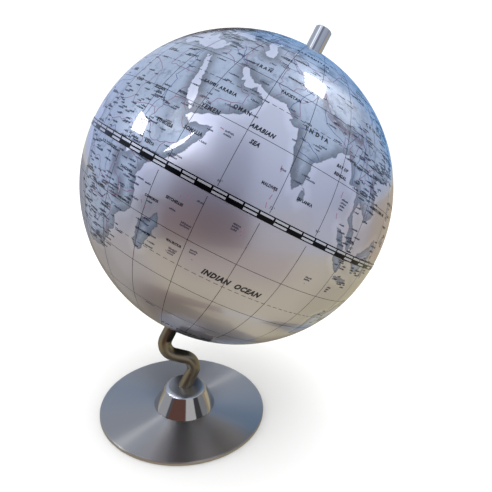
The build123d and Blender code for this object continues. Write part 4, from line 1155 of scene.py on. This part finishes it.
WALL_PATCHES = (
    ((-38, -11, -90, 90, 6), (0.50, 0.48, 0.48)),
    ((-11, 70, -90, 90, 4), (0.46, 0.38, 0.27)),
    ((70, 92, -90, 90, 6), (0.06, 0.055, 0.05)),
    ((92, 131, -90, 90, 6), (0.26, 0.27, 0.31)),
    ((131, 197, -90, 90, 6), (0.48, 0.50, 0.55)),
    ((197, 211, -90, 90, 3), (0.12, 0.12, 0.14)),
    ((-149, -95, -90, 90, 3), (0.17, 0.085, 0.07)),
    ((-124, -98, -90, 90, 8), (0.10, 0.045, 0.04)),
    ((-93, -60, -90, 90, 6), (0.55, 0.54, 0.56)),
    ((-60, -38, -90, 90, 6), (0.56, 0.60, 0.70)),
)
CARD_PATCHES = (
    ((-149, -95, -90, 90, 3), (0.17, 0.085, 0.07)),
    ((-93, -60, -90, 90, 3), (0.66, 0.66, 0.68)),
    ((-60, -38, -90, 90, 3), (0.07, 0.07, 0.08)),
    ((-38, -11, -90, 90, 3), (0.30, 0.31, 0.33)),
)
SHADE_PATCHES = (((0, 180, -90, 90, 3), (0.02, 0.015, 0.012)),)
# A dark strip between the hub and the ball, in metres
SHADE_CORNERS = ((-0.027, -0.051, 0.072), (0.008, -0.057, 0.072), (0.0255, 0.041, 0.072), (-0.010, 0.047, 0.072))


def painted(turn, rise, base, patches):
    """Lays the soft patches over a base colour, one after another."""
    result = np.broadcast_to(np.asarray(base, float), (*turn.shape, 3)).copy()
    for patch, tint in patches:
        share = soft_patch(turn, rise, patch)
        result = result * (1 - share) + np.asarray(tint) * share
    return result


# Corners of the bright windows that the varnish mirrors, in metres
WINDOWS = {
    "left window": ((-1.184, 0.397, 1.120), (-1.259, 0.133, 1.110), (-1.370, 0.064, 0.939), (-1.330, 0.371, 0.900)),
    "right window": ((0.754, 0.275, 1.571), (0.996, 0.235, 1.420), (0.983, -0.117, 1.462), (0.747, -0.081, 1.614)),
    "curtain gap": (
        (-1.343, -0.469, 0.874), (-1.232, -0.548, 1.023), (-1.103, -0.641, 1.141), (-0.937, -0.689, 1.285),
        (-0.986, -0.699, 1.232), (-1.118, -0.685, 1.092), (-1.249, -0.597, 0.961),
    ),
}


def glowing(name, points, faces, tints):
    """A stage mesh that glows with the colours on its points and that only gloss can see."""
    material = bpy.data.materials.new(name)
    material.use_nodes = True
    tree = material.node_tree
    tree.nodes.clear()
    paint = add(tree, "ShaderNodeAttribute", attribute_name="paint").outputs["Color"]
    glow = add(tree, "ShaderNodeEmission", {"Color": paint, "Strength": 1.0}).outputs[0]
    add(tree, "ShaderNodeOutputMaterial", {"Surface": glow})
    piece = new_piece(name, points, faces, material)
    layer = piece.data.attributes.new("paint", "FLOAT_COLOR", "POINT")
    full = np.concatenate([tints.reshape(-1, 3), np.ones((tints.size // 3, 1))], axis=1)
    layer.data.foreach_set("color", full.astype(np.float32).ravel())
    for kind in ("camera", "diffuse", "shadow", "transmission", "volume_scatter"):
        setattr(piece, "visible_" + kind, False)
    return piece


def room_dome(radius=4.0, rows=91, columns=180):
    """A sphere round the ball, point = centre + radius (cos rise cos turn, cos rise sin turn, sin rise)."""
    turn, rise = np.meshgrid(np.arange(columns) * 360 / columns, np.linspace(-89.9, 89.9, rows))
    round_x = np.cos(np.radians(rise)) * np.cos(np.radians(turn))
    round_y = np.cos(np.radians(rise)) * np.sin(np.radians(turn))
    points = CENTRE + radius * np.stack([round_x, round_y, np.sin(np.radians(rise))], axis=-1)
    share = np.clip(rise / 3 + 0.5, 0, 1)[..., None]
    climb = np.clip(rise / 45, 0, 1)[..., None]
    upper = np.asarray(ROOM_HORIZON) * (1 - climb) + np.asarray(ROOM_TOP) * climb
    base = np.asarray(ROOM_LOWER) * (1 - share) + upper * share
    for patch, tint in ROOM_PATCHES:
        part = soft_patch(turn, rise, patch)
        base = base * (1 - part) + np.asarray(tint) * part
    return glowing("room", points.reshape(-1, 3), grid_faces(rows, columns, False)[:, ::-1], base)


def upright_strips(name, radius, low, high, start, end, patches):
    """A round wall about the stand, from one height and turn to another, in upright strips of light and dark."""
    turn, level = np.meshgrid(np.arange(start, end + 1), np.array([low, high]))
    points = np.stack([radius * np.cos(np.radians(turn)), radius * np.sin(np.radians(turn)), level], axis=-1)
    columns = turn.shape[1]
    first = np.arange(columns - 1)
    faces = np.stack([first, first + columns, first + columns + 1, first + 1], axis=1)
    return glowing(name, points.reshape(-1, 3), faces, painted(turn, turn * 0, (0.2, 0.2, 0.21), patches))


class GLOBE_OT_stage(bpy.types.Operator):
    """Set the pale floor, the soft lights and the camera"""

    bl_idname = "desk_globe.stage"
    bl_label = "Stage"

    def execute(self, context):
        sizes = settings("globe_stage")
        scene = context.scene
        scene.view_settings.view_transform = "Standard"
        side = 30.0
        corners = [(-side, -side, 0), (side, -side, 0), (side, side, 0), (-side, side, 0)]
        pale = new_material("pale matt floor", sizes.floor, 0.0, 0.9, Specular_IOR_Level=0.0)[0]
        floor = new_piece("floor", corners, [[0, 1, 2, 3]], pale)
        floor.visible_glossy = False
        room_dome()
        upright_strips("low wall", 0.5, 0.002, 0.21, -180, 180, WALL_PATCHES)
        upright_strips("hub cards", 0.12, 0.012, 0.085, -149, -11, CARD_PATCHES)
        upright_strips("base shade", 0.034, 0.016, 0.08, 54, 102, SHADE_PATCHES)
        glowing("overhead shade", SHADE_CORNERS, [[0, 1, 2, 3]], np.full((4, 3), 0.02))
        world = bpy.data.worlds.new("pale room")
        scene.world = world
        world.use_nodes = True
        world.cycles_visibility.glossy = False
        world.node_tree.nodes["Background"].inputs["Color"].default_value = (*tuple(sizes.sky), 1)
        world.node_tree.nodes["Background"].inputs["Strength"].default_value = sizes.light
        white = (1.0, 1.0, 1.0)
        ball = tuple(CENTRE)
        for name, corners in WINDOWS.items():
            glow = np.full((len(corners), 3), 14.0)
            glowing(name, corners, [list(range(len(corners)))], glow)
        overhead = panel_light("overhead softbox", (0.2, -0.3, 2.6), ball, 1.8, 1.8, 2.5, white)
        overhead.visible_glossy = False
        camera = bpy.data.cameras.new("camera")
        camera.sensor_width = 36
        camera.lens = sizes.lens
        camera.shift_x = -0.0343
        camera.shift_y = 0.0125
        camera.clip_start = 0.01
        holder = bpy.data.objects.new("camera", camera)
        forward = Vector((0.3205, 0.90322, -0.28543)).normalized()
        right = Vector((0.94725, -0.30597, 0.09541)).normalized()
        above = right.cross(forward).normalized()
        turn = np.array([right, above, -forward]).T
        holder.matrix_world = matrix_of(turn, (-0.0560, -0.3389, 0.2611))
        scene.collection.objects.link(holder)
        scene.camera = holder
        return {"FINISHED"}


def matrix_of(turn, place):
    """A placing matrix from a 3 x 3 turn and a place."""
    full = np.eye(4)
    full[:3, :3] = turn
    full[:3, 3] = place
    return Matrix(full.tolist())


class GLOBE_PT_panel(bpy.types.Panel):
    """The sizes, inks and finishes of the desk globe"""

    bl_idname = "GLOBE_PT_panel"
    bl_label = "Desk Globe"
    bl_space_type = "VIEW_3D"
    bl_region_type = "UI"
    bl_category = "Desk Globe"

    def draw(self, context):
        for name, group in SETTINGS:
            box = self.layout.box()
            box.label(text=group.__doc__)
            for key in group.__annotations__:
                box.prop(getattr(context.scene, name), key)
        for operator in OPERATORS:
            self.layout.operator(operator.bl_idname)


OPERATORS = (GLOBE_OT_map, GLOBE_OT_lines, GLOBE_OT_names, GLOBE_OT_tape, GLOBE_OT_stand, GLOBE_OT_stage)
CLASSES = (MapSizes, StandSizes, StageSizes) + OPERATORS + (GLOBE_PT_panel,)


def register():
    for item in CLASSES:
        bpy.utils.register_class(item)
    for name, group in SETTINGS:
        setattr(bpy.types.Scene, name, PointerProperty(type=group))


def unregister():
    for name, group in SETTINGS:
        delattr(bpy.types.Scene, name)
    for item in reversed(CLASSES):
        bpy.utils.unregister_class(item)


def plain(box):
    """A pair of corners as plain lists."""
    return [[float(v) for v in corner] for corner in box]


def main():
    register()
    bpy.ops.desk_globe.map_sheets()
    bpy.ops.desk_globe.map_lines()
    bpy.ops.desk_globe.map_names()
    bpy.ops.desk_globe.scale_tape()
    bpy.ops.desk_globe.stand_finishes()
    bpy.ops.desk_globe.stage()


if __name__ == "__main__":
    main()
